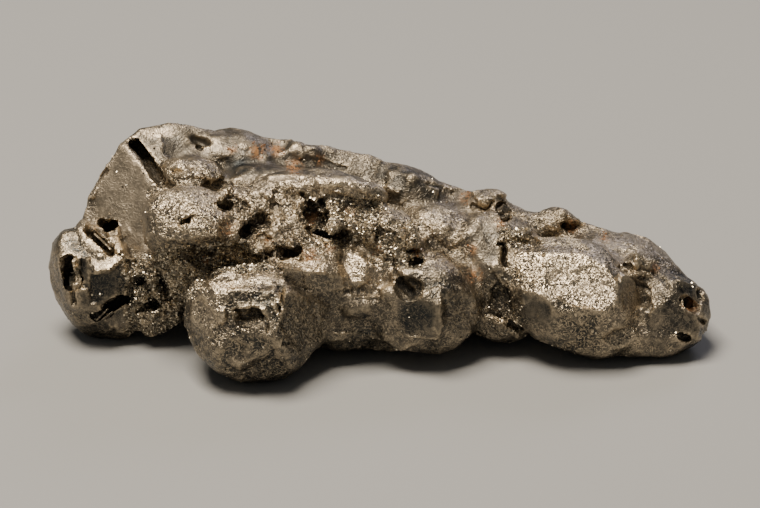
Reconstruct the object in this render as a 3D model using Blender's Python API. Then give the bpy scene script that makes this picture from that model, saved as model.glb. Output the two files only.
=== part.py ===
"""Acanthite specimen: lumpy silver sulphide crystals, grown together into one loose nugget.

The nugget lies on its lowest lumps, which are worn flat where they touch. X runs along its length, Y from its
front to its back, and Z up. The origin is under the middle of its box, on the plane that it rests on.
"""

import random
from itertools import pairwise
from math import cos, pi, radians, sin
from typing import NamedTuple

import bmesh
import bpy
from mathutils import Euler, Matrix, Vector

MM = 0.001
RUBBLE_FORMS = 6  # different small crystals in the rubble

# Driving dimensions, in metres
LENGTH = 38.0 * MM  # tail tip to the far side of the left lump
SKIN = 0.22 * MM  # grid on which the crystals are fused
GROWN = 0.30 * MM  # how far the crystals have grown into the gaps between them
FUSED_TRIANGLES = 9400  # faces kept on the finished nugget
SWELLS = (0.36 * MM, 2.6 * MM)  # depth and spacing of the broad unevenness
DIMPLES = (0.12 * MM, 0.9 * MM)  # depth and spacing of the fine unevenness
BROKEN = (0.35 * MM, 0.5 * MM)  # depth and spacing of the breaks around the pits
WORN = 0.34 * MM  # how much the lowest lumps are worn away

ACANTHITE = (0.115, 0.103, 0.086, 1.0)


class Lump(NamedTuple):
    """A crystal: an ellipsoid with flat faces. Lengths are in mm, angles in degrees.

    A face is (bearing, rise, reach). It looks out at that bearing, where 0 is the front and 90 the tail end,
    and at that rise above level. It lies at that share of the way from the centre to the skin.
    """

    centre: tuple
    radii: tuple
    turn: tuple = (0, 0, 0)
    faces: tuple = ()
    chips: int = 9


class Rubble(NamedTuple):
    """A patch of small crystals, spread at random through an ellipsoid. Lengths are in mm."""

    centre: tuple
    spread: tuple
    count: int
    size: tuple


class Pit(NamedTuple):
    """A hollow: an ellipsoid, slab or wedge that is cut out. Lengths are in mm, angles in degrees.

    Its mouth looks out at a bearing and a rise. Its size is (width, depth, height) as seen through the mouth,
    where roll turns it anticlockwise.
    """

    mouth: tuple
    size: tuple
    bearing: float = 0
    rise: float = 25
    roll: float = 0
    form: str = "bowl"


# Crest of the slab behind, from its left end to the tail tip, in mm
SPINE = (
    (-14.1, 4.6, 11.2),
    (-12.3, 5.0, 11.3),
    (-9.9, 5.3, 10.9),
    (-7.3, 5.5, 10.4),
    (-3.7, 5.3, 9.8),
    (-0.6, 5.0, 9.2),
    (2.2, 4.7, 8.2),
    (4.3, 4.3, 7.8),
    (7.1, 3.7, 7.2),
    (9.0, 3.1, 6.4),
    (12.0, 2.2, 6.3),
    (14.0, 1.7, 5.8),
    (15.6, 1.3, 5.0),
    (17.2, 0.7, 3.9),
)
# Corners of the slab's cross-section, (across, up) as shares of the crest's height
SECTION = ((0.0, 1.0), (-0.2, 0.86), (-0.4, 0.5), (-0.3, 0.12), (0.1, 0.12), (0.2, 0.45), (0.11, 0.88))

# Corners of the slab's left end, whose front is one big face, in mm
SLAB_END = (
    (-17.3, 2.0, 6.9),
    (-16.2, 2.9, 9.2),
    (-15.1, 3.6, 10.6),
    (-14.0, 4.4, 11.2),
    (-12.2, 5.0, 11.2),
    (-12.2, 1.2, 8.8),
    (-12.4, -0.6, 5.6),
    (-17.2, 0.8, 4.4),
    (-16.6, 5.0, 6.2),
    (-14.8, 6.4, 9.0),
    (-11.5, 6.6, 9.4),
    (-15.6, 1.8, 1.8),
    (-15.2, 5.6, 2.2),
    (-10.4, 6.4, 1.2),
    (-10.4, 1.6, 1.0),
)

LUMPS = {
    # On the slab's crest and at the tail
    "crest_left": Lump((-8.6, 5.0, 9.8), (2.4, 1.7, 0.9), (0, 6, 0), ((0, 55, 0.7), (0, 90, 0.8)), 14),
    "crest_middle": Lump((1.6, 4.1, 7.9), (2.4, 1.6, 0.8), (0, 16, 0), ((0, 55, 0.7), (20, 80, 0.8)), 14),
    "knob_on_crest": Lump((6.2, 2.9, 7.1), (1.3, 1.1, 0.9), (0, 8, 0), ((0, 0, 0.7), (0, 80, 0.8))),
    "knob_near_tail": Lump((10.2, 2.2, 6.3), (1.3, 1.0, 0.9), (0, 0, 0), ((20, 10, 0.75), (-20, 50, 0.8))),
    "tail": Lump(
        (14.0, 0.3, 3.1), (4.6, 3.3, 2.8), (0, 14, -8),
        ((20, 50, 0.88), (110, 40, 0.92), (190, 30, 0.88)),
    ),
    "tail_tip": Lump(
        (16.4, -1.7, 2.4), (2.6, 2.5, 2.4), (0, 10, 0),
        ((70, 20, 0.92), (0, -20, 0.85), (20, 30, 0.9)),
    ),
    "tail_sole": Lump((15.2, -2.7, 1.5), (3.3, 1.7, 1.5), (0, 4, 0), ((10, -10, 0.86), (0, 70, 0.8))),
    # The front, from the left end to the tail
    "left_lump": Lump(
        (-16.15, 0.2, 3.5), (2.85, 2.8, 3.8), (0, -16, 0),
        ((-8, 58, 0.8), (14, 8, 0.82), (-62, 4, 0.88), (-10, -35, 0.86)),
    ),
    "left_shelf": Lump((-15.1, -0.7, 5.1), (2.2, 1.7, 1.1), (0, -8, 0), ((0, 70, 0.8), (0, -10, 0.8))),
    "left_rubble": Lump((-12.5, -0.2, 3.3), (2.3, 2.2, 2.4), (0, 0, 0), ((10, 20, 0.8),), 14),
    "speckled_lump": Lump(
        (-11.0, -1.8, 8.0), (2.75, 2.4, 2.2), (0, 4, 0),
        ((2, 44, 0.84), (-52, 10, 0.9), (40, 60, 0.86), (0, -30, 0.8)),
    ),
    "speckled_shoulder": Lump((-8.2, -1.1, 7.8), (2.0, 1.9, 2.0), (0, 0, 0), ((4, 40, 0.8), (0, 80, 0.85))),
    "small_lump": Lump((-10.9, 2.0, 9.4), (1.8, 1.4, 0.9), (0, 2, 0), ((0, 40, 0.82), (-60, 20, 0.85))),
    "grainy_bed": Lump((-9.6, -0.8, 5.2), (3.5, 1.9, 3.0), (0, 0, 0), ((0, 0, 0.8),)),
    "front_lump": Lump(
        (-7.1, -5.1, 3.6), (3.95, 3.6, 3.6), (0, 0, 0),
        ((-4, 74, 0.82), (-16, 26, 0.8), (2, -24, 0.84), (-64, 6, 0.88), (52, 10, 0.8), (34, 42, 0.84)),
    ),
    "front_shoulder": Lump((-4.4, -3.6, 3.3), (2.1, 2.4, 2.4), (0, 20, 0), ((40, 10, 0.8), (0, 20, 0.85))),
    "wedge_crystal": Lump((-4.4, -2.9, 4.5), (3.2, 2.6, 3.3), (0, 24, 0), ((14, -14, 0.66), (-4, 66, 0.8))),
    "middle_mass": Lump((-6.2, -1.0, 7.1), (4.1, 2.5, 2.6), (0, 6, 0), ((2, 42, 0.78), (40, 30, 0.85))),
    "crest_bar": Lump(
        (-3.5, 0.0, 9.1), (4.2, 1.5, 1.25), (0, 5, 0),
        ((0, 78, 0.84), (0, 12, 0.8), (0, -40, 0.8)),
    ),
    "middle_lump": Lump(
        (-0.9, -3.3, 5.5), (1.8, 1.8, 1.8), (0, 24, 0),
        ((-20, 42, 0.8), (12, -14, 0.84), (60, 10, 0.85)),
    ),
    "under_middle": Lump((-2.2, -2.4, 3.5), (3.6, 2.3, 3.2), (0, 8, 0), ((0, -10, 0.84),), 12),
    "pitted_lump": Lump((1.6, -0.9, 6.3), (3.0, 2.5, 2.1), (0, 12, 0), ((0, 42, 0.84),), 16),
    "pitted_knob": Lump((0.4, -1.3, 7.4), (1.4, 1.2, 1.0), (0, 0, 0), ((0, 40, 0.85),), 12),
    "smooth_knob": Lump((3.4, 0.4, 6.5), (1.9, 1.7, 1.5), (0, 12, 0), ((6, 62, 0.86), (30, 20, 0.9))),
    "crescent_lump": Lump(
        (2.4, -2.6, 3.4), (3.5, 3.3, 3.0), (0, 0, 0),
        ((-20, 2, 0.82), (36, 2, 0.84), (0, 48, 0.9), (10, -30, 0.88)),
    ),
    "neck": Lump((6.3, 0.0, 4.6), (3.4, 3.0, 3.2), (0, 12, 0), ((0, 45, 0.86), (20, 10, 0.85))),
    "neck_ledge": Lump((7.6, -0.2, 6.0), (1.8, 1.6, 1.1), (0, 10, 0), ((0, 20, 0.8), (0, 75, 0.85)), 12),
    "tail_lump": Lump(
        (11.2, -2.3, 3.6), (4.8, 3.4, 3.1), (0, 26, 0),
        ((6, 42, 0.8), (-44, 36, 0.84), (66, 18, 0.86), (0, -14, 0.84), (50, -18, 0.84), (-40, -8, 0.86)),
    ),
    "rubble_under_neck": Lump((7.0, -1.6, 2.4), (2.1, 1.9, 1.9), (0, 0, 0), (), 14),
    "blade": Lump((-0.4, -2.4, 1.1), (2.6, 1.2, 0.7), (0, 7, 0), ((0, 20, 0.7),)),
    # Inside, behind and below
    "core": Lump((-3.0, 1.5, 3.8), (10.0, 4.0, 3.8)),
    "fill_left": Lump((-7.5, 1.8, 5.8), (6.0, 3.2, 2.9), (0, 4, 0), (), 12),
    "fill_right": Lump((4.0, 1.9, 4.6), (5.2, 3.0, 2.6), (0, 12, 0), (), 12),
    "belly": Lump((-1.8, -0.6, 2.8), (4.8, 2.6, 2.4)),
    "back_end": Lump((-14.0, 6.2, 5.6), (2.5, 2.0, 3.4), (0, 12, 0), ((215, 15, 0.84), (170, 50, 0.86))),
    "back_foot_left": Lump(
        (-11.6, 6.6, 2.7), (3.3, 2.4, 2.7), (0, 0, 0),
        ((200, 20, 0.85), (240, 10, 0.9), (150, -5, 0.88)),
    ),
    "back_knob": Lump((-9.2, 7.4, 6.6), (2.7, 1.8, 2.4), (0, 10, 0), ((180, 40, 0.8), (140, 5, 0.85))),
    "back_foot_middle": Lump((-4.6, 6.5, 2.5), (3.9, 2.5, 2.5), (0, 0, 0), ((180, 35, 0.85), (150, 0, 0.9))),
    "back_shelf": Lump((-3.6, 7.0, 5.8), (2.9, 1.7, 1.9), (0, 16, 0), ((190, 20, 0.82), (170, 70, 0.85))),
    "back_knob_right": Lump((0.8, 6.3, 5.4), (2.2, 1.7, 2.0), (0, 14, 0), ((180, 30, 0.8), (210, -5, 0.85))),
    "back_foot_right": Lump((4.2, 5.2, 2.2), (3.4, 2.4, 2.2), (0, 0, 0), ((170, 30, 0.86), (120, 10, 0.9))),
    "back_ledge": Lump((6.4, 4.6, 4.6), (2.6, 1.5, 1.6), (0, 16, 0), ((185, 30, 0.82), (200, -20, 0.85))),
    "back_of_tail": Lump((11.0, 3.0, 2.8), (3.3, 2.0, 2.4), (0, 12, 0), ((185, 30, 0.82), (140, 0, 0.88))),
    "back_of_tip": Lump((15.2, 1.0, 2.4), (2.6, 2.2, 2.2), (0, 14, 0), ((165, 25, 0.84), (200, 0, 0.88))),
}

RUBBLE = {
    "on_crest_left": Rubble((-5.4, 4.6, 9.2), (3.2, 1.0, 0.4), 12, (0.4, 0.8)),
    "on_crest_middle": Rubble((1.8, 4.0, 7.8), (2.4, 0.9, 0.5), 12, (0.4, 0.8)),
    "on_crest_right": Rubble((8.8, 2.4, 5.9), (3.0, 0.8, 0.5), 12, (0.4, 0.7)),
    "beside_left_lump": Rubble((-12.9, -1.2, 3.4), (1.6, 1.1, 2.2), 18, (0.5, 1.0)),
    "between_speckled_and_bar": Rubble((-8.0, -1.0, 8.8), (1.0, 1.0, 0.8), 8, (0.4, 0.8)),
    "under_the_bar": Rubble((-3.2, -2.0, 7.4), (2.0, 0.9, 1.2), 14, (0.4, 0.8)),
    "over_front_lump": Rubble((-3.9, -3.6, 5.9), (1.8, 1.2, 1.1), 12, (0.5, 0.9)),
    "below_middle_lump": Rubble((-2.0, -3.4, 3.4), (2.0, 1.0, 1.6), 12, (0.6, 1.1)),
    "on_pitted_lump": Rubble((0.9, -1.9, 7.0), (2.0, 1.1, 1.1), 20, (0.4, 0.8)),
    "under_neck": Rubble((6.9, -2.3, 3.6), (1.2, 1.0, 2.0), 16, (0.5, 0.9)),
    "on_neck_ledge": Rubble((7.7, -1.0, 6.2), (1.1, 0.9, 0.6), 9, (0.4, 0.7)),
    "before_tail": Rubble((14.4, -1.0, 4.9), (1.1, 1.2, 0.8), 8, (0.4, 0.7)),
    "below_tail": Rubble((14.9, -2.8, 1.8), (2.0, 0.9, 1.0), 6, (0.5, 0.9)),
    "behind_left": Rubble((-11.6, 7.0, 5.0), (3.2, 1.2, 3.0), 18, (0.6, 1.4)),
    "behind_middle": Rubble((-3.4, 6.6, 4.8), (3.8, 1.2, 2.8), 22, (0.6, 1.4)),
    "behind_right": Rubble((5.6, 4.7, 3.6), (3.2, 0.9, 2.0), 18, (0.6, 1.2)),
    "behind_tail": Rubble((13.6, 2.4, 3.2), (2.6, 0.9, 1.8), 14, (0.5, 1.0)),
}

PITS = {
    # The slab behind
    "groove_in_slab": Pit((-13.3, 2.9, 9.6), (0.75, 1.3, 3.6), -14, 40, 44, "slab"),
    "slab_face": Pit((-15.6, 1.6, 9.4), (4.4, 0.4, 6.4), -22, 31, 40, "slab"),
    "slab_pits": Pit((-10.4, 4.3, 10.5), (1.5, 0.5, 0.7), 0, 55, -20),
    # The left lump and the rubble beside it
    "black_notch": Pit((-15.6, 0.9, 6.7), (1.1, 1.2, 0.8), 0, 50, -20),
    "side_recess": Pit((-17.6, -1.9, 4.8), (1.8, 0.8, 1.4), -48, 4, -84, "wedge"),
    "lower_notch": Pit((-15.5, -2.2, 2.7), (0.7, 0.8, 2.4), 8, 0, -58, "slab"),
    "rubble_upper": Pit((-13.7, -1.9, 4.4), (0.9, 0.8, 1.3), -20, 10, -30),
    "rubble_right": Pit((-12.3, -2.2, 4.2), (1.0, 0.9, 1.4), 0, 0, 20),
    "rubble_lower": Pit((-13.1, -2.3, 3.1), (0.8, 0.7, 1.0), 0, 0),
    # The speckled lump and the grainy hollow below it
    "speckled_slot": Pit((-10.9, -3.6, 8.95), (1.0, 0.8, 0.5), 5, 45, 35),
    "speckled_pits": Pit((-8.6, -1.9, 9.2), (1.3, 0.6, 0.7), 30, 50, -20),
    "grainy_hollow": Pit((-9.1, -3.4, 6.2), (6.4, 1.6, 2.4), 0, 20, -4),
    # The middle, under the bar
    "wedge_cavity": Pit((-6.6, -3.1, 7.6), (1.7, 1.0, 2.6), 0, 35, 222, "wedge"),
    "middle_slot": Pit((-5.1, -3.5, 6.9), (1.5, 0.6, 0.55), 0, 40, 8, "slab"),
    "deep_hole": Pit((-3.75, -2.0, 8.75), (1.0, 0.7, 1.3), 0, 20, 20),
    "hole_corner": Pit((-3.2, -2.1, 8.4), (1.2, 0.6, 0.8), 0, 25, -35),
    "smiling_cavity": Pit((-3.05, -2.3, 7.55), (2.0, 1.1, 0.7), 5, 30, -12),
    "under_the_bar": Pit((-1.7, -1.9, 8.8), (2.8, 0.4, 0.6), 5, 10, -6),
    "pitted_slot": Pit((-0.2, -2.5, 7.6), (0.5, 0.5, 1.1), -10, 40, 0),
    "pitted_upper": Pit((1.8, -3.1, 6.9), (0.8, 0.6, 0.5), 0, 40, -20),
    "pitted_lower": Pit((2.0, -3.4, 6.3), (0.9, 0.6, 0.5), 0, 40, 20),
    "crescent_hollow": Pit((1.6, -4.7, 5.3), (1.9, 0.7, 1.5), 0, 25, -30),
    "crevice_by_neck": Pit((7.1, -2.1, 6.1), (0.5, 0.8, 2.1), -12, 35, 14),
    "rough_under_neck": Pit((6.9, -3.2, 3.7), (1.5, 0.5, 2.4), -5, 10, 12),
    # The front lump and the tail
    "front_pit": Pit((-7.3, -7.65, 5.0), (1.8, 1.1, 2.0), -8, 15, 16, "wedge"),
    "crack_before_tail": Pit((14.6, -2.2, 5.1), (0.45, 0.8, 2.2), 35, 45, 40, "slab"),
    "tail_pit": Pit((17.7, -3.1, 3.5), (0.8, 0.5, 0.9), 50, 30),
    "tail_slot": Pit((17.4, -4.1, 1.9), (1.3, 0.5, 0.5), 30, 10, -25),
    "knob_pit": Pit((6.9, 0.9, 7.2), (0.9, 0.9, 0.9), 5, 40),
    "pit_before_knob": Pit((11.1, 1.6, 6.2), (1.1, 0.6, 0.6), 0, 40),
    # Behind
    "back_hollow_left": Pit((-11.6, 8.8, 5.2), (2.2, 1.4, 1.4), 190, 20),
    "back_hollow_middle": Pit((-6.7, 8.8, 4.3), (1.6, 1.5, 2.2), 175, 10, 20),
    "back_hollow_right": Pit((-1.3, 8.2, 3.9), (2.0, 1.4, 1.3), 180, 10, -10),
    "back_slot": Pit((2.8, 7.5, 4.0), (0.7, 1.5, 2.6), 170, 15, 30, "slab"),
    "back_tail_pit": Pit((13.3, 4.0, 3.8), (1.3, 0.9, 0.9), 170, 30),
}


def facing(bearing, rise):
    """Direction that looks out at a bearing and a rise."""
    level = cos(radians(rise))
    return Vector((sin(radians(bearing)) * level, -cos(radians(bearing)) * level, sin(radians(rise))))


def chip_faces(rng, count):
    """Small worn facets, spread at random over a crystal."""
    return [(rng.uniform(-180, 180), rng.uniform(-70, 80), rng.uniform(0.86, 0.97)) for _ in range(count)]


def add_block(solid, corners):
    """Add the hull of some corners to a bmesh."""
    block = bmesh.new()
    for corner in corners:
        block.verts.new(Vector(corner) * MM)
    hull = bmesh.ops.convex_hull(block, input=block.verts)
    inside = [item for item in hull["geom_interior"] if isinstance(item, bmesh.types.BMVert)]
    bmesh.ops.delete(block, geom=inside, context="VERTS")
    mesh = bpy.data.meshes.new("block")
    block.to_mesh(mesh)
    block.free()
    solid.from_mesh(mesh)
    bpy.data.meshes.remove(mesh)


def slab_corners(crest):
    """Corners of the slab's cross-section under one point of its crest."""
    x, y, z = crest
    return [(x, y + across * z, up * z) for across, up in SECTION]


def add_lump(solid, lump, rng):
    """Add one crystal to a bmesh: an ellipsoid, sliced flat at each of its faces."""
    crystal = bmesh.new()
    bmesh.ops.create_icosphere(crystal, subdivisions=4 if max(lump.radii) > 1.3 else 3, radius=1.0)
    turn = Euler([radians(angle) for angle in lump.turn]).to_matrix()
    shape = turn @ Matrix.Diagonal(Vector(lump.radii) * MM)
    centre = Vector(lump.centre) * MM
    for vert in crystal.verts:
        vert.co = centre + shape @ vert.co
    for bearing, rise, reach in [*lump.faces, *chip_faces(rng, lump.chips)]:
        out = facing(bearing, rise)
        to_skin = (shape.transposed() @ out).length
        geometry = [*crystal.verts, *crystal.edges, *crystal.faces]
        cut = bmesh.ops.bisect_plane(
            crystal, geom=geometry, plane_co=centre + out * to_skin * reach, plane_no=out, clear_outer=True
        )
        rim = [item for item in cut["geom_cut"] if isinstance(item, bmesh.types.BMEdge)]
        if rim:
            bmesh.ops.contextual_create(crystal, geom=rim)
    mesh = bpy.data.meshes.new("crystal")
    crystal.to_mesh(mesh)
    crystal.free()
    solid.from_mesh(mesh)
    bpy.data.meshes.remove(mesh)


def add_pit(solid, pit):
    """Add one cutter to a bmesh, with half of its depth outside the mouth."""
    inward = -facing(pit.bearing, pit.rise)
    right = inward.cross(Vector((0, 0, 1))).normalized()
    up = right.cross(inward)
    axes = Matrix((right, inward, up)).transposed() @ Matrix.Rotation(radians(-pit.roll), 3, "Y")
    place = Matrix.Translation(Vector(pit.mouth) * MM) @ axes.to_4x4()
    width, depth, height = (length * MM for length in pit.size)
    size = Matrix.Diagonal((width, 2 * depth, height, 1))
    if pit.form == "bowl":
        bmesh.ops.create_icosphere(solid, subdivisions=3, radius=0.5, matrix=place @ size)
        return
    corners = bmesh.ops.create_cube(solid, size=1.0)["verts"]
    if pit.form == "wedge":
        for vert in corners:
            if vert.co.y > 0:
                vert.co.z = -0.5
    bmesh.ops.transform(solid, matrix=place @ size, verts=corners)


def new_object(name, solid):
    """Turn a bmesh into an object in the scene."""
    mesh = bpy.data.meshes.new(name)
    solid.to_mesh(mesh)
    solid.free()
    obj = bpy.data.objects.new(name, mesh)
    bpy.context.scene.collection.objects.link(obj)
    return obj


def settle(obj):
    """Replace an object's mesh by what its modifiers make of it."""
    bpy.context.view_layer.update()
    graph = bpy.context.evaluated_depsgraph_get()
    made = bpy.data.meshes.new_from_object(obj.evaluated_get(graph))
    obj.modifiers.clear()
    obj.data = made


def fuse(obj, grid):
    """Fuse whatever overlaps in an object into one skin."""
    remesh = obj.modifiers.new("fuse", "REMESH")
    remesh.mode = "VOXEL"
    remesh.voxel_size = grid


def grow_together(obj):
    """Fill the narrow gaps between crystals: swell the skin, fuse it, and shrink it back."""
    for way in (GROWN, -GROWN):
        swell = obj.modifiers.new("swell", "DISPLACE")
        swell.mid_level = 0.0
        swell.strength = way
        fuse(obj, SKIN)


def roughen(obj, name, depth, spacing):
    """Push the skin in and out by a smooth noise."""
    noise = bpy.data.textures.new(name, "CLOUDS")
    noise.noise_scale = spacing
    noise.noise_depth = 1
    displace = obj.modifiers.new(name, "DISPLACE")
    displace.texture = noise
    displace.texture_coords = "LOCAL"
    displace.mid_level = 0.5
    displace.strength = depth


def helper(obj):
    """Mark an object as a cutter, which is no part of the nugget."""
    obj.hide_render = True
    obj.display_type = "WIRE"
    return obj


def cut_by(obj, cutter):
    """Cut one object out of another."""
    boolean = obj.modifiers.new("cut", "BOOLEAN")
    boolean.operation = "DIFFERENCE"
    boolean.object = cutter


def chipped_forms():
    """Small crystals of one mm radius, as meshes to be copied through the rubble."""
    forms = []
    for seed in range(RUBBLE_FORMS):
        solid = bmesh.new()
        add_lump(solid, Lump((0, 0, 0), (1, 1, 1), chips=14), random.Random(seed))
        form = bpy.data.meshes.new("chipped_form")
        solid.to_mesh(form)
        solid.free()
        forms.append(form)
    return forms


def add_rubble(solid, rubble, forms, rng):
    """Add a patch of small crystals to a bmesh."""
    for index in range(rubble.count):
        away = facing(rng.uniform(-180, 180), rng.uniform(-90, 90)) * rng.uniform(0.3, 1.0)
        centre = Vector(rubble.centre) + Vector(rubble.spread) * away
        size = Matrix.Diagonal([rng.uniform(*rubble.size) for _ in range(3)])
        turn = Euler([rng.uniform(0, pi) for _ in range(3)]).to_matrix()
        crystal = forms[index % len(forms)].copy()
        crystal.transform(Matrix.Translation(centre * MM) @ (turn @ size).to_4x4())
        solid.from_mesh(crystal)
        bpy.data.meshes.remove(crystal)


def make_crystals():
    """All crystals, fused into one skin."""
    solid = bmesh.new()
    add_block(solid, SLAB_END)
    for here, after in pairwise(SPINE):
        add_block(solid, slab_corners(here) + slab_corners(after))
    for name, lump in LUMPS.items():
        add_lump(solid, lump, random.Random(name))
    forms = chipped_forms()
    for name, rubble in RUBBLE.items():
        add_rubble(solid, rubble, forms, random.Random(name))
    nugget = new_object("acanthite_nugget", solid)
    fuse(nugget, SKIN)
    grow_together(nugget)
    settle(nugget)
    return nugget


def make_pits():
    """All hollows, as one cutter."""
    solid = bmesh.new()
    for pit in PITS.values():
        add_pit(solid, pit)
    pits = new_object("pits", solid)
    fuse(pits, SKIN / 2)
    roughen(pits, "broken_rims", *BROKEN)
    fuse(pits, SKIN / 2)
    settle(pits)
    return helper(pits)


def simplify(nugget):
    """Drop the faces that the nugget's form doesn't need."""
    nugget.data.calc_loop_triangles()
    decimate = nugget.modifiers.new("simplify", "DECIMATE")
    decimate.ratio = FUSED_TRIANGLES / len(nugget.data.loop_triangles)
    settle(nugget)


def rest_on_plane(nugget):
    """Wear the lowest lumps flat, and bring the middle of the box's underside to the origin."""
    mesh = nugget.data
    plane = min(vert.co.z for vert in mesh.vertices) + WORN
    for vert in mesh.vertices:
        vert.co.z = max(vert.co.z, plane)
    points = [vert.co for vert in mesh.vertices]
    low = Vector(map(min, zip(*points)))
    high = Vector(map(max, zip(*points)))
    middle = Vector(((low.x + high.x) / 2, (low.y + high.y) / 2, plane))
    mesh.transform(Matrix.Scale(LENGTH / (high.x - low.x), 4) @ Matrix.Translation(-middle))


def metal():
    """Dark, tarnished silver sulphide."""
    material = bpy.data.materials.new("tarnished_acanthite")
    material.use_nodes = True
    shader = material.node_tree.nodes["Principled BSDF"]
    shader.inputs["Base Color"].default_value = ACANTHITE
    shader.inputs["Metallic"].default_value = 0.85
    shader.inputs["Roughness"].default_value = 0.42
    return material


def main():
    """Build the nugget."""
    for obj in list(bpy.data.objects):
        bpy.data.objects.remove(obj)
    nugget = make_crystals()
    cut_by(nugget, make_pits())
    settle(nugget)
    fuse(nugget, SKIN)
    roughen(nugget, "swells", *SWELLS)
    roughen(nugget, "dimples", *DIMPLES)
    settle(nugget)
    simplify(nugget)
    rest_on_plane(nugget)
    nugget.data.materials.append(metal())


if __name__ == "__main__":
    main()
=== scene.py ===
"""Looks of the acanthite specimen: the nugget's finished skin, the grains that crust it, and its rust.

The crystals, rubble and hollows are those of the part's own source, fused here on a finer grid. The shoulder
in front of the slab is added here, and the hollow in the front lump, the groove in the slab and the crack
before the tail are cut closer to the photograph. What is finer than the solids is then carved into the skin:
the facets, ledges, slots and pits that the photograph shows, and the grain of the metal.

Places are in mm in the drawing that the solids were laid out in, with X along the nugget, Y from its front to
its back and Z up. Pixels are those of the photograph, 760 wide and 508 high.
"""

import logging
import random
from dataclasses import dataclass, field
from enum import Enum
from itertools import pairwise
from math import cos, pi, radians, sin

import bpy
import numpy as np
from mathutils import Euler, Matrix, Vector, noise
from mathutils.bvhtree import BVHTree
from mathutils.kdtree import KDTree


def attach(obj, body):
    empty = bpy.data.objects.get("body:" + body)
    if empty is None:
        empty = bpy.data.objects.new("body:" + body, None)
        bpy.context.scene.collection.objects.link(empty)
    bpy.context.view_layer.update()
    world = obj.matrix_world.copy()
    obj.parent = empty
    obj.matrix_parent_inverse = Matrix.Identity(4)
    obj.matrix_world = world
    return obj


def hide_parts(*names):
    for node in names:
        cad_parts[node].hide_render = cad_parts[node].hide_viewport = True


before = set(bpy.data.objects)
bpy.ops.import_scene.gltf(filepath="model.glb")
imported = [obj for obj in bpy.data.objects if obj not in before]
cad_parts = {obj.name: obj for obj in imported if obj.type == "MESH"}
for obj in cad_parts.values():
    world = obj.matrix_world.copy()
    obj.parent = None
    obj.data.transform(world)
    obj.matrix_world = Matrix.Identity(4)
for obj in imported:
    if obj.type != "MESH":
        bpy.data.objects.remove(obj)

log = logging.getLogger("acanthite")

MM = 0.001
NUGGET = "acanthite_nugget"
ROOT = "root"

Pair = tuple[float, float]
Pixel = tuple[float, float]
Outline = tuple[Pixel, ...]
Triple = tuple[float, float, float]
Layer = float | Pair
Array = np.ndarray


# Small helpers


def linear(code: str) -> tuple[float, float, float, float]:
    """Turn an sRGB hex colour to linear light.

    Args:
        code: The colour, such as "#6a6154".

    Returns:
        Red, green, blue and alpha.
    """
    shares = [int(code[place : place + 2], 16) / 255 for place in (1, 3, 5)]
    light = [share / 12.92 if share <= 0.04045 else ((share + 0.055) / 1.055) ** 2.4 for share in shares]
    return (*light, 1.0)


def facing(bearing: float, rise: float) -> Vector:
    """Direction that looks out at a bearing and a rise.

    Args:
        bearing: Degrees round from the front, with 90 at the tail end.
        rise: Degrees above level.

    Returns:
        A vector of length one.
    """
    level = cos(radians(rise))
    return Vector((sin(radians(bearing)) * level, -cos(radians(bearing)) * level, sin(radians(rise))))


def pick(*pieces: bpy.types.Object) -> bpy.types.Object:
    """Select only these pieces, and make the first one active.

    Args:
        pieces: The pieces that the next operator acts on.

    Returns:
        The active piece.
    """
    bpy.ops.object.select_all(action="DESELECT")
    for piece in pieces:
        piece.select_set(True)
    bpy.context.view_layer.objects.active = pieces[0]
    return pieces[0]


def finish_with(piece: bpy.types.Object, kind: str, **settings: object) -> None:
    """Add a modifier to a piece and apply it.

    Args:
        piece: The piece to change.
        kind: Blender's name for the modifier's type.
        settings: The modifier's settings.
    """
    pick(piece)
    modifier = piece.modifiers.new(kind.lower(), kind)
    for name, value in settings.items():
        setattr(modifier, name, value)
    bpy.ops.object.modifier_apply(modifier=modifier.name)


def fuse(piece: bpy.types.Object, grid: float) -> None:
    """Fuse whatever overlaps in a piece into one skin.

    Args:
        piece: The piece to change.
        grid: Size of the grid in mm.
    """
    finish_with(piece, "REMESH", mode="VOXEL", voxel_size=grid * MM)


def roughen(piece: bpy.types.Object, name: str, depth: float, spacing: float) -> None:
    """Push a piece's skin in and out by a smooth noise.

    Args:
        piece: The piece to change.
        name: Name of the noise.
        depth: Whole depth in mm.
        spacing: Size of the swells in mm.
    """
    clouds = bpy.data.textures.new(name, "CLOUDS")
    clouds.noise_scale = spacing * MM
    clouds.noise_depth = 1
    finish_with(piece, "DISPLACE", texture=clouds, texture_coords="LOCAL", mid_level=0.5, strength=depth * MM)


def from_corners(name: str, corners: list[Triple]) -> bpy.types.Object:
    """Model the hull of some corners.

    Args:
        name: Name of the piece.
        corners: The corners in mm.

    Returns:
        The hull as a piece.
    """
    mesh = bpy.data.meshes.new(name)
    mesh.from_pydata([Vector(corner) * MM for corner in corners], [], [])
    piece = bpy.data.objects.new(name, mesh)
    bpy.context.scene.collection.objects.link(piece)
    pick(piece)
    bpy.ops.object.mode_set(mode="EDIT")
    bpy.ops.mesh.select_all(action="SELECT")
    bpy.ops.mesh.convex_hull()
    bpy.ops.object.mode_set(mode="OBJECT")
    return piece


def slice_off(point: Vector, out: Vector) -> None:
    """Slice off what lies beyond a plane, in edit mode, and close the cut.

    Args:
        point: A point of the plane.
        out: The direction that the plane faces.
    """
    bpy.ops.mesh.select_all(action="SELECT")
    bpy.ops.mesh.bisect(plane_co=point, plane_no=out, use_fill=True, clear_outer=True)


def grow_together(piece: bpy.types.Object, reach: float, grid: float) -> None:
    """Fill the narrow gaps between crystals: swell the skin, fuse it, and shrink it back.

    Args:
        piece: The piece to change.
        reach: How far the crystals have grown into the gaps, in mm.
        grid: Size of the grid that they are fused on, in mm.
    """
    for way in (reach, -reach):
        finish_with(piece, "DISPLACE", mid_level=0.0, strength=way * MM)
        fuse(piece, grid)


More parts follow.
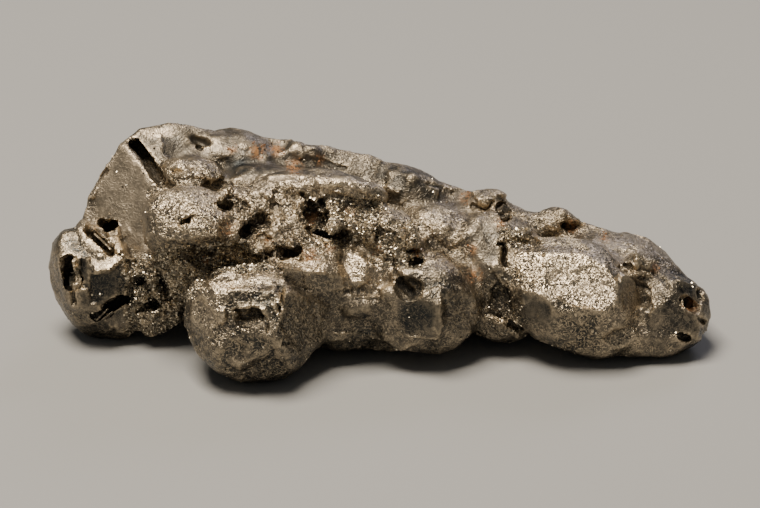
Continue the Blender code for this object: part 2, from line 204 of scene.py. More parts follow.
def drop_crumbs(piece: bpy.types.Object) -> None:
    """Drop all but the largest of a piece's loose parts.

    Args:
        piece: The piece to change.
    """
    pick(piece)
    bpy.ops.mesh.separate(type="LOOSE")
    parts = list(bpy.context.selected_objects)
    piece.data = max((part.data for part in parts), key=lambda mesh: len(mesh.vertices))
    for part in parts:
        if part != piece:
            bpy.data.objects.remove(part)


def joined(name: str, pieces: list[bpy.types.Object]) -> bpy.types.Object:
    """Join several pieces into one.

    Args:
        name: Name of the joined piece.
        pieces: The pieces, which are used up.

    Returns:
        The joined piece.
    """
    whole = pick(*pieces)
    bpy.ops.object.join()
    whole.name = name
    whole.data.name = name
    return whole


# What the solids are drawn from


@dataclass(frozen=True)
class Crystal:
    """A crystal: an ellipsoid with flat faces. Lengths are in mm, angles in degrees.

    A face is (bearing, rise, reach). It looks out at that bearing, where 0 is the front and 90 the tail end,
    and at that rise above level. It lies at that share of the way from the centre to the skin. Chips are
    small faces at random.
    """

    centre: Triple
    radii: Triple
    turn: Triple = (0, 0, 0)
    faces: tuple[Triple, ...] = ()
    chips: int = 9
    chip_rise: Pair = (-70, 80)
    chip_reach: Pair = (0.86, 0.97)
    large: float = 1.3

    def model(self, name: str, seed: object) -> bpy.types.Object:
        """Model the crystal: a ball at its size and place, sliced flat at each of its faces.

        Args:
            name: Name of the piece.
            seed: What its chipped faces are drawn from.

        Returns:
            The crystal as a piece.
        """
        rng = random.Random(seed)
        centre = Vector(self.centre) * MM
        turn = Euler([radians(angle) for angle in self.turn])
        rounds = 4 if max(self.radii) > self.large else 3
        bpy.ops.object.select_all(action="DESELECT")
        bpy.ops.mesh.primitive_ico_sphere_add(
            subdivisions=rounds, radius=MM, location=centre, rotation=turn, scale=self.radii
        )
        ball = bpy.context.object
        ball.name = name
        bpy.ops.object.transform_apply(location=True, rotation=True, scale=True)
        shape = turn.to_matrix() @ Matrix.Diagonal(Vector(self.radii) * MM)
        chips = [
            (rng.uniform(-180, 180), rng.uniform(*self.chip_rise), rng.uniform(*self.chip_reach))
            for _ in range(self.chips)
        ]
        bpy.ops.object.mode_set(mode="EDIT")
        for bearing, rise, reach in [*self.faces, *chips]:
            out = facing(bearing, rise)
            to_skin = (shape.transposed() @ out).length
            slice_off(centre + out * to_skin * reach, out)
        bpy.ops.object.mode_set(mode="OBJECT")
        return ball


@dataclass(frozen=True)
class Rubble:
    """A patch of small crystals, spread at random through an ellipsoid. Lengths are in mm."""

    centre: Triple
    spread: Triple
    count: int
    size: Pair
    away: Pair = (0.3, 1.0)

    def scatter(self, forms: list[bpy.types.Object], seed: object) -> list[bpy.types.Object]:
        """Copy some forms through the patch.

        Args:
            forms: Chipped crystals of one mm radius.
            seed: What the places are drawn from.

        Returns:
            The copies, each with its own mesh.
        """
        rng = random.Random(seed)
        copies = []
        for index in range(self.count):
            away = facing(rng.uniform(-180, 180), rng.uniform(-90, 90)) * rng.uniform(*self.away)
            centre = Vector(self.centre) + Vector(self.spread) * away
            size = Matrix.Diagonal([rng.uniform(*self.size) for _ in range(3)])
            turn = Euler([rng.uniform(0, pi) for _ in range(3)]).to_matrix()
            copy = forms[index % len(forms)].copy()
            copy.data = copy.data.copy()
            copy.data.transform(Matrix.Translation(centre * MM) @ (turn @ size).to_4x4())
            bpy.context.scene.collection.objects.link(copy)
            copies.append(copy)
        return copies


class Hollow(Enum):
    """Forms that a hollow is cut with."""

    BOWL = "bowl"
    SLAB = "slab"
    WEDGE = "wedge"


@dataclass(frozen=True)
class Pit:
    """A hollow that is cut out. Lengths are in mm, angles in degrees.

    Its mouth looks out at a bearing and a rise. Its size is (width, depth, height) as seen through the mouth,
    where roll turns it anticlockwise.
    """

    mouth: Triple
    size: Triple
    bearing: float = 0
    rise: float = 25
    roll: float = 0
    form: Hollow = Hollow.BOWL

    def model(self, name: str) -> bpy.types.Object:
        """Model the cutter, with half of its depth outside the mouth.

        Args:
            name: Name of the piece.

        Returns:
            The cutter as a piece.
        """
        inward = -facing(self.bearing, self.rise)
        right = inward.cross(Vector((0, 0, 1))).normalized()
        up = right.cross(inward)
        turn = Matrix((right, inward, up)).transposed() @ Matrix.Rotation(radians(-self.roll), 3, "Y")
        width, depth, height = self.size
        place = {
            "location": Vector(self.mouth) * MM,
            "rotation": turn.to_euler(),
            "scale": (width, 2 * depth, height),
        }
        bpy.ops.object.select_all(action="DESELECT")
        if self.form is Hollow.BOWL:
            bpy.ops.mesh.primitive_ico_sphere_add(subdivisions=3, radius=0.5 * MM, **place)
        else:
            bpy.ops.mesh.primitive_cube_add(size=MM, **place)
        cutter = bpy.context.object
        cutter.name = name
        bpy.ops.object.transform_apply(location=True, rotation=True, scale=True)
        if self.form is Hollow.WEDGE:
            bpy.ops.object.mode_set(mode="EDIT")
            slice_off(Vector(self.mouth) * MM, turn @ Vector((0, 0.5 / depth, 1 / height)))
            bpy.ops.object.mode_set(mode="OBJECT")
        return cutter


# Crest of the slab behind, from its left end to the tail tip, in mm
SPINE: tuple[Triple, ...] = (
    (-14.1, 4.6, 11.2),
    (-12.3, 5.0, 11.3),
    (-9.9, 5.3, 10.9),
    (-7.3, 5.5, 10.4),
    (-3.7, 5.3, 9.8),
    (-0.6, 5.0, 9.2),
    (2.2, 4.7, 8.2),
    (4.3, 4.3, 7.8),
    (7.1, 3.7, 7.2),
    (9.0, 3.1, 6.4),
    (12.0, 2.2, 6.3),
    (14.0, 1.7, 5.8),
    (15.6, 1.3, 5.0),
    (17.2, 0.7, 3.9),
)
# Corners of the slab's cross-section, (across, up) as shares of the crest's height
SECTION: tuple[Pair, ...] = (
    (0.0, 1.0), (-0.2, 0.86), (-0.4, 0.5), (-0.3, 0.12), (0.1, 0.12), (0.2, 0.45), (0.11, 0.88),
)

# Corners of the slab's left end, whose front is one big face, in mm
SLAB_END: tuple[Triple, ...] = (
    (-17.3, 2.0, 6.9),
    (-16.2, 2.9, 9.2),
    (-15.1, 3.6, 10.6),
    (-14.0, 4.4, 11.2),
    (-12.2, 5.0, 11.2),
    (-12.2, 1.2, 8.8),
    (-12.4, -0.6, 5.6),
    (-17.2, 0.8, 4.4),
    (-16.6, 5.0, 6.2),
    (-14.8, 6.4, 9.0),
    (-11.5, 6.6, 9.4),
    (-15.6, 1.8, 1.8),
    (-15.2, 5.6, 2.2),
    (-10.4, 6.4, 1.2),
    (-10.4, 1.6, 1.0),
)

CRYSTALS: dict[str, Crystal] = {
    # On the slab's crest and at the tail
    "crest_left": Crystal((-8.6, 5.0, 9.8), (2.4, 1.7, 0.9), (0, 6, 0), ((0, 55, 0.7), (0, 90, 0.8)), 14),
    "crest_middle": Crystal(
        (1.6, 4.1, 7.9), (2.4, 1.6, 0.8), (0, 16, 0), ((0, 55, 0.7), (20, 80, 0.8)), 14,
    ),
    "slab_shoulder": Crystal((-4.8, 2.4, 8.2), (4.9, 1.7, 1.25), (0, 8, 0), ((0, 60, 0.86),), 12),
    "knob_on_crest": Crystal((6.2, 2.9, 7.1), (1.3, 1.1, 0.9), (0, 8, 0), ((0, 0, 0.7), (0, 80, 0.8))),
    "knob_near_tail": Crystal(
        (10.2, 2.2, 6.3), (1.3, 1.0, 0.9), (0, 0, 0), ((20, 10, 0.75), (-20, 50, 0.8)),
    ),
    "tail": Crystal(
        (14.0, 0.3, 3.1), (4.6, 3.3, 2.8), (0, 14, -8),
        ((20, 50, 0.88), (110, 40, 0.92), (190, 30, 0.88)),
    ),
    "tail_tip": Crystal(
        (16.4, -1.7, 2.4), (2.6, 2.5, 2.4), (0, 10, 0),
        ((70, 20, 0.92), (0, -20, 0.85), (20, 30, 0.9)),
    ),
    "tail_sole": Crystal((15.2, -2.7, 1.5), (3.3, 1.7, 1.5), (0, 4, 0), ((10, -10, 0.86), (0, 70, 0.8))),
    # The front, from the left end to the tail
    "left_lump": Crystal(
        (-16.15, 0.2, 3.5), (2.85, 2.8, 3.8), (0, -16, 0),
        ((-8, 58, 0.8), (14, 8, 0.82), (-62, 4, 0.88), (-10, -35, 0.86)),
    ),
    "left_shelf": Crystal((-15.1, -0.7, 5.1), (2.2, 1.7, 1.1), (0, -8, 0), ((0, 70, 0.8), (0, -10, 0.8))),
    "left_rubble": Crystal((-12.5, -0.2, 3.3), (2.3, 2.2, 2.4), (0, 0, 0), ((10, 20, 0.8),), 14),
    "speckled_lump": Crystal(
        (-11.0, -1.8, 8.0), (2.75, 2.4, 2.2), (0, 4, 0),
        ((2, 44, 0.84), (-52, 10, 0.9), (40, 60, 0.86), (0, -30, 0.8)),
    ),
    "speckled_shoulder": Crystal(
        (-8.2, -1.1, 7.8), (2.0, 1.9, 2.0), (0, 0, 0), ((4, 40, 0.8), (0, 80, 0.85)),
    ),
    "small_lump": Crystal((-10.9, 2.0, 9.4), (1.8, 1.4, 0.9), (0, 2, 0), ((0, 40, 0.82), (-60, 20, 0.85))),
    "grainy_bed": Crystal((-9.6, -0.8, 5.2), (3.5, 1.9, 3.0), (0, 0, 0), ((0, 0, 0.8),)),
    "front_lump": Crystal(
        (-7.1, -5.1, 3.6), (3.95, 3.6, 3.6), (0, 0, 0),
        ((-4, 74, 0.82), (-16, 26, 0.8), (2, -24, 0.84), (-64, 6, 0.88), (52, 10, 0.8), (34, 42, 0.84)),
    ),
    "front_shoulder": Crystal(
        (-4.4, -3.6, 3.3), (2.1, 2.4, 2.4), (0, 20, 0), ((40, 10, 0.8), (0, 20, 0.85)),
    ),
    "wedge_crystal": Crystal(
        (-4.4, -2.9, 4.5), (3.2, 2.6, 3.3), (0, 24, 0), ((14, -14, 0.66), (-4, 66, 0.8)),
    ),
    "middle_mass": Crystal((-6.2, -1.0, 7.1), (4.1, 2.5, 2.6), (0, 6, 0), ((2, 42, 0.78), (40, 30, 0.85))),
    "crest_bar": Crystal(
        (-3.5, 0.0, 9.1), (4.2, 1.5, 1.25), (0, 5, 0),
        ((0, 78, 0.84), (0, 12, 0.8), (0, -40, 0.8)),
    ),
    "middle_lump": Crystal(
        (-0.9, -3.3, 5.5), (1.8, 1.8, 1.8), (0, 24, 0),
        ((-20, 42, 0.8), (12, -14, 0.84), (60, 10, 0.85)),
    ),
    "under_middle": Crystal((-2.2, -2.4, 3.5), (3.6, 2.3, 3.2), (0, 8, 0), ((0, -10, 0.84),), 12),
    "pitted_lump": Crystal((1.6, -0.9, 6.3), (3.0, 2.5, 2.1), (0, 12, 0), ((0, 42, 0.84),), 16),
    "pitted_knob": Crystal((0.4, -1.3, 7.4), (1.4, 1.2, 1.0), (0, 0, 0), ((0, 40, 0.85),), 12),
    "smooth_knob": Crystal((3.4, 0.4, 6.5), (1.9, 1.7, 1.5), (0, 12, 0), ((6, 62, 0.86), (30, 20, 0.9))),
    "crescent_lump": Crystal(
        (2.4, -2.6, 3.4), (3.5, 3.3, 3.0), (0, 0, 0),
        ((-20, 2, 0.82), (36, 2, 0.84), (0, 48, 0.9), (10, -30, 0.88)),
    ),
    "neck": Crystal((6.3, 0.0, 4.6), (3.4, 3.0, 3.2), (0, 12, 0), ((0, 45, 0.86), (20, 10, 0.85))),
    "neck_ledge": Crystal((7.6, -0.2, 6.0), (1.8, 1.6, 1.1), (0, 10, 0), ((0, 20, 0.8), (0, 75, 0.85)), 12),
    "tail_lump": Crystal(
        (11.2, -2.3, 3.6), (4.8, 3.4, 3.1), (0, 26, 0),
        ((6, 42, 0.8), (-44, 36, 0.84), (66, 18, 0.86), (0, -14, 0.84), (50, -18, 0.84), (-40, -8, 0.86)),
    ),
    "rubble_under_neck": Crystal((7.0, -1.6, 2.4), (2.1, 1.9, 1.9), (0, 0, 0), (), 14),
    "blade": Crystal((-0.4, -2.4, 1.1), (2.6, 1.2, 0.7), (0, 7, 0), ((0, 20, 0.7),)),
    # Inside, behind and below
    "core": Crystal((-3.0, 1.5, 3.8), (10.0, 4.0, 3.8)),
    "fill_left": Crystal((-7.5, 1.8, 5.8), (6.0, 3.2, 2.9), (0, 4, 0), (), 12),
    "fill_right": Crystal((4.0, 1.9, 4.6), (5.2, 3.0, 2.6), (0, 12, 0), (), 12),
    "belly": Crystal((-1.8, -0.6, 2.8), (4.8, 2.6, 2.4)),
    "back_end": Crystal((-14.0, 6.2, 5.6), (2.5, 2.0, 3.4), (0, 12, 0), ((215, 15, 0.84), (170, 50, 0.86))),
    "back_foot_left": Crystal(
        (-11.6, 6.6, 2.7), (3.3, 2.4, 2.7), (0, 0, 0),
        ((200, 20, 0.85), (240, 10, 0.9), (150, -5, 0.88)),
    ),
    "back_knob": Crystal((-9.2, 7.4, 6.6), (2.7, 1.8, 2.4), (0, 10, 0), ((180, 40, 0.8), (140, 5, 0.85))),
    "back_foot_middle": Crystal(
        (-4.6, 6.5, 2.5), (3.9, 2.5, 2.5), (0, 0, 0), ((180, 35, 0.85), (150, 0, 0.9)),
    ),
    "back_shelf": Crystal(
        (-3.6, 7.0, 5.8), (2.9, 1.7, 1.9), (0, 16, 0), ((190, 20, 0.82), (170, 70, 0.85)),
    ),
    "back_knob_right": Crystal(
        (0.8, 6.3, 5.4), (2.2, 1.7, 2.0), (0, 14, 0), ((180, 30, 0.8), (210, -5, 0.85)),
    ),
    "back_foot_right": Crystal(
        (4.2, 5.2, 2.2), (3.4, 2.4, 2.2), (0, 0, 0), ((170, 30, 0.86), (120, 10, 0.9)),
    ),
    "back_ledge": Crystal(
        (6.4, 4.6, 4.6), (2.6, 1.5, 1.6), (0, 16, 0), ((185, 30, 0.82), (200, -20, 0.85)),
    ),
    "back_of_tail": Crystal(
        (11.0, 3.0, 2.8), (3.3, 2.0, 2.4), (0, 12, 0), ((185, 30, 0.82), (140, 0, 0.88)),
    ),
    "back_of_tip": Crystal(
        (15.2, 1.0, 2.4), (2.6, 2.2, 2.2), (0, 14, 0), ((165, 25, 0.84), (200, 0, 0.88)),
    ),
}

RUBBLE: dict[str, Rubble] = {
    "on_crest_left": Rubble((-5.4, 4.6, 9.2), (3.2, 1.0, 0.4), 12, (0.4, 0.8)),
    "on_crest_middle": Rubble((1.8, 4.0, 7.8), (2.4, 0.9, 0.5), 12, (0.4, 0.8)),
    "on_crest_right": Rubble((8.8, 2.4, 5.9), (3.0, 0.8, 0.5), 12, (0.4, 0.7)),
    "beside_left_lump": Rubble((-12.9, -1.2, 3.4), (1.6, 1.1, 2.2), 18, (0.5, 1.0)),
    "between_speckled_and_bar": Rubble((-8.0, -1.0, 8.8), (1.0, 1.0, 0.8), 8, (0.4, 0.8)),
    "under_the_bar": Rubble((-3.2, -2.0, 7.4), (2.0, 0.9, 1.2), 14, (0.4, 0.8)),
    "over_front_lump": Rubble((-3.9, -3.6, 5.9), (1.8, 1.2, 1.1), 12, (0.5, 0.9)),
    "below_middle_lump": Rubble((-2.0, -3.4, 3.4), (2.0, 1.0, 1.6), 12, (0.6, 1.1)),
    "on_pitted_lump": Rubble((0.9, -1.9, 7.0), (2.0, 1.1, 1.1), 20, (0.4, 0.8)),
    "under_neck": Rubble((6.9, -2.3, 3.6), (1.2, 1.0, 2.0), 16, (0.5, 0.9)),
    "on_neck_ledge": Rubble((7.7, -1.0, 6.2), (1.1, 0.9, 0.6), 9, (0.4, 0.7)),
    "before_tail": Rubble((14.4, -1.0, 4.9), (1.1, 1.2, 0.8), 8, (0.4, 0.7)),
    "below_tail": Rubble((14.9, -2.8, 1.8), (2.0, 0.9, 1.0), 6, (0.5, 0.9)),
    "behind_left": Rubble((-11.6, 7.0, 5.0), (3.2, 1.2, 3.0), 18, (0.6, 1.4)),
    "behind_middle": Rubble((-3.4, 6.6, 4.8), (3.8, 1.2, 2.8), 22, (0.6, 1.4)),
    "behind_right": Rubble((5.6, 4.7, 3.6), (3.2, 0.9, 2.0), 18, (0.6, 1.2)),
    "behind_tail": Rubble((13.6, 2.4, 3.2), (2.6, 0.9, 1.8), 14, (0.5, 1.0)),
}

PITS: dict[str, Pit] = {
    # The slab behind
    "groove_in_slab": Pit((-13.3, 2.9, 9.6), (0.7, 1.2, 3.6), -14, 40, 44, Hollow.SLAB),
    "slab_face": Pit((-15.6, 1.6, 9.4), (4.4, 0.4, 6.4), -22, 31, 40, Hollow.SLAB),
    "slab_pits": Pit((-10.4, 4.3, 10.5), (1.5, 0.5, 0.7), 0, 55, -20),
    # The left lump and the rubble beside it
    "black_notch": Pit((-15.6, 0.9, 6.7), (1.1, 1.2, 0.8), 0, 50, -20),
    "side_recess": Pit((-17.6, -1.9, 4.8), (1.8, 0.8, 1.4), -48, 4, -84, Hollow.WEDGE),
    "lower_notch": Pit((-15.5, -2.2, 2.7), (0.7, 0.8, 2.4), 8, 0, -58, Hollow.SLAB),
    "rubble_upper": Pit((-13.7, -1.9, 4.4), (0.9, 0.8, 1.3), -20, 10, -30),
    "rubble_right": Pit((-12.3, -2.2, 4.2), (1.0, 0.9, 1.4), 0, 0, 20),
    "rubble_lower": Pit((-13.1, -2.3, 3.1), (0.8, 0.7, 1.0), 0, 0),
    # The speckled lump and the grainy hollow below it
    "speckled_slot": Pit((-10.9, -3.6, 8.95), (1.0, 0.8, 0.5), 5, 45, 35),
    "speckled_pits": Pit((-8.6, -1.9, 9.2), (1.3, 0.6, 0.7), 30, 50, -20),
    "grainy_hollow": Pit((-9.1, -3.4, 6.2), (6.4, 1.6, 2.4), 0, 20, -4),
    # The middle, under the bar
    "wedge_cavity": Pit((-6.6, -3.1, 7.6), (1.7, 1.0, 2.6), 0, 35, 222, Hollow.WEDGE),
    "middle_slot": Pit((-5.1, -3.5, 6.9), (1.5, 0.6, 0.55), 0, 40, 8, Hollow.SLAB),
    "deep_hole": Pit((-3.75, -2.0, 8.75), (1.0, 0.7, 1.3), 0, 20, 20),
    "hole_corner": Pit((-3.2, -2.1, 8.4), (1.2, 0.6, 0.8), 0, 25, -35),
    "smiling_cavity": Pit((-3.05, -2.3, 7.55), (2.0, 1.1, 0.7), 5, 30, -12),
    "under_the_bar": Pit((-1.7, -1.9, 8.8), (2.8, 0.4, 0.6), 5, 10, -6),
    "pitted_slot": Pit((-0.2, -2.5, 7.6), (0.5, 0.5, 1.1), -10, 40, 0),
    "pitted_upper": Pit((1.8, -3.1, 6.9), (0.8, 0.6, 0.5), 0, 40, -20),
    "pitted_lower": Pit((2.0, -3.4, 6.3), (0.9, 0.6, 0.5), 0, 40, 20),
    "crescent_hollow": Pit((1.6, -4.7, 5.3), (1.9, 0.7, 1.5), 0, 25, -30),
    "crevice_by_neck": Pit((7.1, -2.1, 6.1), (0.5, 0.8, 2.1), -12, 35, 14),
    "rough_under_neck": Pit((6.9, -3.2, 3.7), (1.5, 0.5, 2.4), -5, 10, 12),
    # The front lump and the tail
    "front_pit": Pit((-7.3, -7.65, 4.95), (1.9, 0.7, 1.3), -8, 15, 8),
    "front_pit_corner": Pit((-7.85, -7.6, 5.25), (0.9, 0.9, 0.5), -8, 15, 10, Hollow.SLAB),
    "crack_before_tail": Pit((14.6, -2.2, 5.1), (0.3, 0.45, 2.1), 35, 45, 40, Hollow.SLAB),
    "tail_pit": Pit((17.7, -3.1, 3.5), (0.8, 0.5, 0.9), 50, 30),
    "tail_slot": Pit((17.4, -4.1, 1.9), (1.3, 0.5, 0.5), 30, 10, -25),
    "knob_pit": Pit((6.9, 0.9, 7.2), (0.9, 0.9, 0.9), 5, 40),
    "pit_before_knob": Pit((11.1, 1.6, 6.2), (1.1, 0.6, 0.6), 0, 40),
    # Behind
    "back_hollow_left": Pit((-11.6, 8.8, 5.2), (2.2, 1.4, 1.4), 190, 20),
    "back_hollow_middle": Pit((-6.7, 8.8, 4.3), (1.6, 1.5, 2.2), 175, 10, 20),
    "back_hollow_right": Pit((-1.3, 8.2, 3.9), (2.0, 1.4, 1.3), 180, 10, -10),
    "back_slot": Pit((2.8, 7.5, 4.0), (0.7, 1.5, 2.6), 170, 15, 30, Hollow.SLAB),
    "back_tail_pit": Pit((13.3, 4.0, 3.8), (1.3, 0.9, 0.9), 170, 30),
}


# What the photograph shows on the skin


@dataclass(frozen=True)
class PhotoCamera:
    """The photograph's camera, in mm in the drawing: it looks down at the nugget's front."""

    target: Triple = (0.0, -1.0, 5.7)
    distance: float = 217.74
    rise: float = 25.0
    pixel: float = 0.0573
    middle: Pixel = (380, 254)
    lens: float = 180.0
    sensor: float = 36.0

    def toward(self) -> Vector:
        """Direction from the nugget to the camera."""
        return facing(0, self.rise)

    def eye(self) -> Vector:
        """Where the camera is."""
        return Vector(self.target) + self.toward() * self.distance

    def pixels(self, points: Array) -> Array:
        """Find where the photograph shows some points.

        Args:
            points: The points in mm.

        Returns:
            A row for each point, of its column and row in the photograph.
        """
        away = points - np.array(self.target)
        forward = np.array(self.toward())
        up = np.array((0, sin(radians(self.rise)), cos(radians(self.rise))))
        nearer = self.distance / (self.distance - away @ forward)
        column, row = self.middle
        across = away[:, 0] * nearer / self.pixel
        upward = away @ up * nearer / self.pixel
        return np.stack((column + across, row - upward), axis=1)

    def place(self, shift: Vector, scale: float) -> bpy.types.Object:
        """Set the camera up in the finished frame.

        Args:
            shift: The middle of the nugget's underside in the drawing, in mm.
            scale: How much the drawing is enlarged.

        Returns:
            The camera.
        """
        bpy.ops.object.camera_add(location=(self.eye() - shift) * scale * MM)
        camera = bpy.context.object
        camera.name = "photo_camera"
        camera.rotation_euler = (-self.toward()).to_track_quat("-Z", "Y").to_euler()
        camera.data.lens = self.lens
        camera.data.sensor_width = self.sensor
        camera.data.clip_start = 0.01
        camera.data.clip_end = 10.0
        bpy.context.scene.camera = camera
        return camera


class Profile(Enum):
    """Shapes that a stroke is carved with, from its middle line outward."""

    GROOVE = "round-bottomed groove"
    CRACK = "sharp crack"
    RIDGE = "sharp ridge"
    BEAD = "rounded ridge"


@dataclass(frozen=True)
class Stroke:
    """A line that is carved or raised along a path of pixels. Its width and depth are in mm."""

    path: Outline
    width: float
    depth: float
    profile: Profile = Profile.GROOVE

    def rise(self, pixels: Array, grid: float) -> Array:
        """Work out how far the stroke moves some points.

        Args:
            pixels: Where the photograph shows the points.
            grid: Size of a pixel in mm.

        Returns:
            Each point's move outward in mm.
        """
        near = np.full(len(pixels), np.inf)
        for start, end in pairwise(self.path):
            near = np.minimum(near, distance_to_line(pixels, start, end))
        share = np.clip(1 - near * grid / (self.width / 2), 0, 1)
        if self.profile in (Profile.GROOVE, Profile.BEAD):
            share = np.sqrt(share * (2 - share))
        return share * (self.depth if self.profile in (Profile.RIDGE, Profile.BEAD) else -self.depth)


@dataclass(frozen=True)
class Facet:
    """A flat face in place of an area of the skin.

    Its plane looks out at a bearing and a rise, in degrees, through the middle of the skin that it replaces.
    Sink moves it inward, in mm, and soft is its rim in pixels.
    """

    bearing: float
    rise: float
    sink: float = 0.0
    soft: float = 3.0


@dataclass(frozen=True)
class Spot:
    """A round mark at a pixel, with a radius in pixels."""

    at: Pixel
    radius: float
    strength: float = 1.0


def distance_to_line(pixels: Array, start: Pixel, end: Pixel) -> Array:
    """Measure how far some pixels are from a straight line.

    Args:
        pixels: The pixels, one in each row.
        start: One end of the line.
        end: Its other end.

    Returns:
        The distances in pixels.
    """
    first = np.array(start, dtype=float)
    along = np.array(end, dtype=float) - first
    share = np.clip((pixels - first) @ along / max(along @ along, 1e-9), 0, 1)
    return np.linalg.norm(pixels - first - share[:, None] * along, axis=1)


def inside(pixels: Array, outline: Outline, soft: float) -> Array:
    """Weigh how far inside an outline some pixels are.

    Args:
        pixels: The pixels, one in each row.
        outline: The outline's corners.
        soft: Width of its rim in pixels.

    Returns:
        Zero outside and one inside, with a slope across the rim.
    """
    u, v = pixels[:, 0], pixels[:, 1]
    crossings = np.zeros(len(pixels), dtype=int)
    near = np.full(len(pixels), np.inf)
    for start, end in pairwise((*outline, outline[0])):
        (u1, v1), (u2, v2) = start, end
        near = np.minimum(near, distance_to_line(pixels, start, end))
        if v1 != v2:
            crossings += ((v1 > v) != (v2 > v)) & (u < (u2 - u1) * (v - v1) / (v2 - v1) + u1)
    side = np.where(crossings % 2 == 1, near, -near)
    return np.clip(side / soft + 0.5, 0, 1)


class Skin:
    """The nugget's skin as arrays, in mm in the drawing, on which fine relief is carved."""

    # What counts as facing the camera, and how far off the skin a look at the camera starts, in mm
    facing_it = 0.03
    off_skin = 0.06
    off_start = 0.05
    # How far points that move outward lean to the camera
    toward_camera = 0.6
    # The flattest look at a facet, and how far in front of it or behind it the skin still follows, in mm
    flattest = 0.25
    follows = 0.7
    # The usual rim of an area, in pixels
    rim = 5.0

    def __init__(self, piece: bpy.types.Object, camera: PhotoCamera) -> None:
        """Read a piece's skin.

        Args:
            piece: The piece.
            camera: The camera that the photograph was taken with.
        """
        self.piece = piece
        self.camera = camera
        count = len(piece.data.vertices)
        self.points = np.empty(count * 3, dtype=np.float32)
        piece.data.vertices.foreach_get("co", self.points)
        self.points = self.points.reshape(count, 3).astype(float) / MM
        edges = np.empty(len(piece.data.edges) * 2, dtype=np.int32)
        piece.data.edges.foreach_get("vertices", edges)
        self.edges = edges.reshape(-1, 2)
        self.degree = np.bincount(edges, minlength=count).astype(float)
        self.normals = self.read_normals()
        self.pixels = camera.pixels(self.points)
        self.seen = self.find_seen()

    def read_normals(self) -> Array:
        """Read the skin's normals."""
        normals = np.empty(len(self.points) * 3, dtype=np.float32)
        self.piece.data.vertex_normals.foreach_get("vector", normals)
        return normals.reshape(-1, 3).astype(float)

    def write(self) -> None:
        """Write the points back to the piece, and renew what follows from them."""
        self.piece.data.vertices.foreach_set("co", (self.points * MM).astype(np.float32).ravel())
        self.piece.data.update()
        self.normals = self.read_normals()
        self.pixels = self.camera.pixels(self.points)

    def blur(self, values: Array, rounds: int) -> Array:
        """Average values over the skin.

        Args:
            values: A value, or a row of values, for each point.
            rounds: How many times each point is averaged with its neighbours.

        Returns:
            The averaged values.
        """
        first, second = self.edges[:, 0], self.edges[:, 1]
        count = len(self.points)
        columns = values.reshape(count, -1).T.copy()
        for _ in range(rounds):
            for row, column in enumerate(columns):
                total = np.bincount(first, column[second], count) + np.bincount(second, column[first], count)
                columns[row] = 0.5 * column + 0.5 * total / self.degree
        return columns.T.reshape(values.shape)

    def find_seen(self) -> Array:
        """Find which points the photograph shows: one where it does, and zero where it doesn't."""
        tree = BVHTree.FromObject(self.piece, bpy.context.evaluated_depsgraph_get())
        forward = self.camera.toward()
        seen = np.zeros(len(self.points))
        faces_it = self.normals @ np.array(forward) > self.facing_it
        for index in np.flatnonzero(faces_it):
            start = Vector(self.points[index]) * MM + Vector(self.normals[index]) * self.off_skin * MM
            if tree.ray_cast(start + forward * self.off_start * MM, forward)[0] is None:
                seen[index] = 1.0
        return self.blur(seen, 3)

    def push(self, outward: Array) -> None:
        """Move the points.

        Args:
            outward: How far each point moves, in mm, between its normal and the camera's direction.
        """
        ways = self.normals + np.array(self.camera.toward()) * self.toward_camera
        ways /= np.linalg.norm(ways, axis=1)[:, None]
        self.points += ways * outward[:, None]
        self.write()

    def flatten(self, outline: Outline, facet: Facet) -> None:
        """Press a flat face into the skin. What lies far in front of the face or far behind it stays.

        Args:
            outline: Where the photograph shows the face.
            facet: The face.
        """
        weight = inside(self.pixels, outline, facet.soft) * self.seen
        plane = np.array(facing(facet.bearing, facet.rise))
        heights = self.points @ plane
        level = np.median(heights[weight > 0.5]) - facet.sink
        forward = np.array(self.camera.toward())
        move = (level - heights) / max(forward @ plane, self.flattest)
        weight *= np.clip(2.2 - np.abs(move) / self.follows, 0, 1)
        self.points += forward * (move * weight)[:, None]
        self.write()

    def point_at(self, pixel: Pixel) -> Vector:
        """Find the point of the skin that the photograph shows at a pixel, in mm."""
        away = np.linalg.norm(self.pixels - np.array(pixel), axis=1) + 100 * (self.seen < 0.5)
        return Vector(self.points[np.argmin(away)])

    def spread(self, layers: dict[str, Layer], elsewhere: float) -> Array:
        """Lay values over the skin.

        Args:
            layers: A value for each area, or a value and a rim; a later area covers an earlier one.
            elsewhere: The value outside them.

        Returns:
            A value for each point.
        """
        values = np.full(len(self.points), elsewhere)
        for area, layer in layers.items():
            value, soft = layer if isinstance(layer, tuple) else (layer, self.rim)
            weight = inside(self.pixels, AREAS[area], soft) * self.seen
            values = values * (1 - weight) + value * weight
        return values

    def spots(self, marks: dict[str, Spot]) -> Array:
        """Lay round marks over the skin.

        Args:
            marks: The marks by name.

        Returns:
            A strength for each point.
        """
        values = np.zeros(len(self.points))
        for mark in marks.values():
            near = np.linalg.norm(self.pixels - np.array(mark.at), axis=1)
            values = np.maximum(values, np.clip(1.3 - near / mark.radius, 0, 1) * mark.strength * self.seen)
        return values

    def above(self, height: float) -> Array:
        """Tell which points lie higher above the underside than this, in mm: one where they do, else zero."""
        return (self.points[:, 2] > self.points[:, 2].min() + height).astype(float)

    def hollowness(self, rounds: int) -> Array:
        """Measure how far each point lies below the skin around it.

        Args:
            rounds: How widely the skin around it is averaged.

        Returns:
            Millimetres below; negative where the point stands out.
        """
        return ((self.blur(self.points, rounds) - self.points) * self.normals).sum(axis=1)


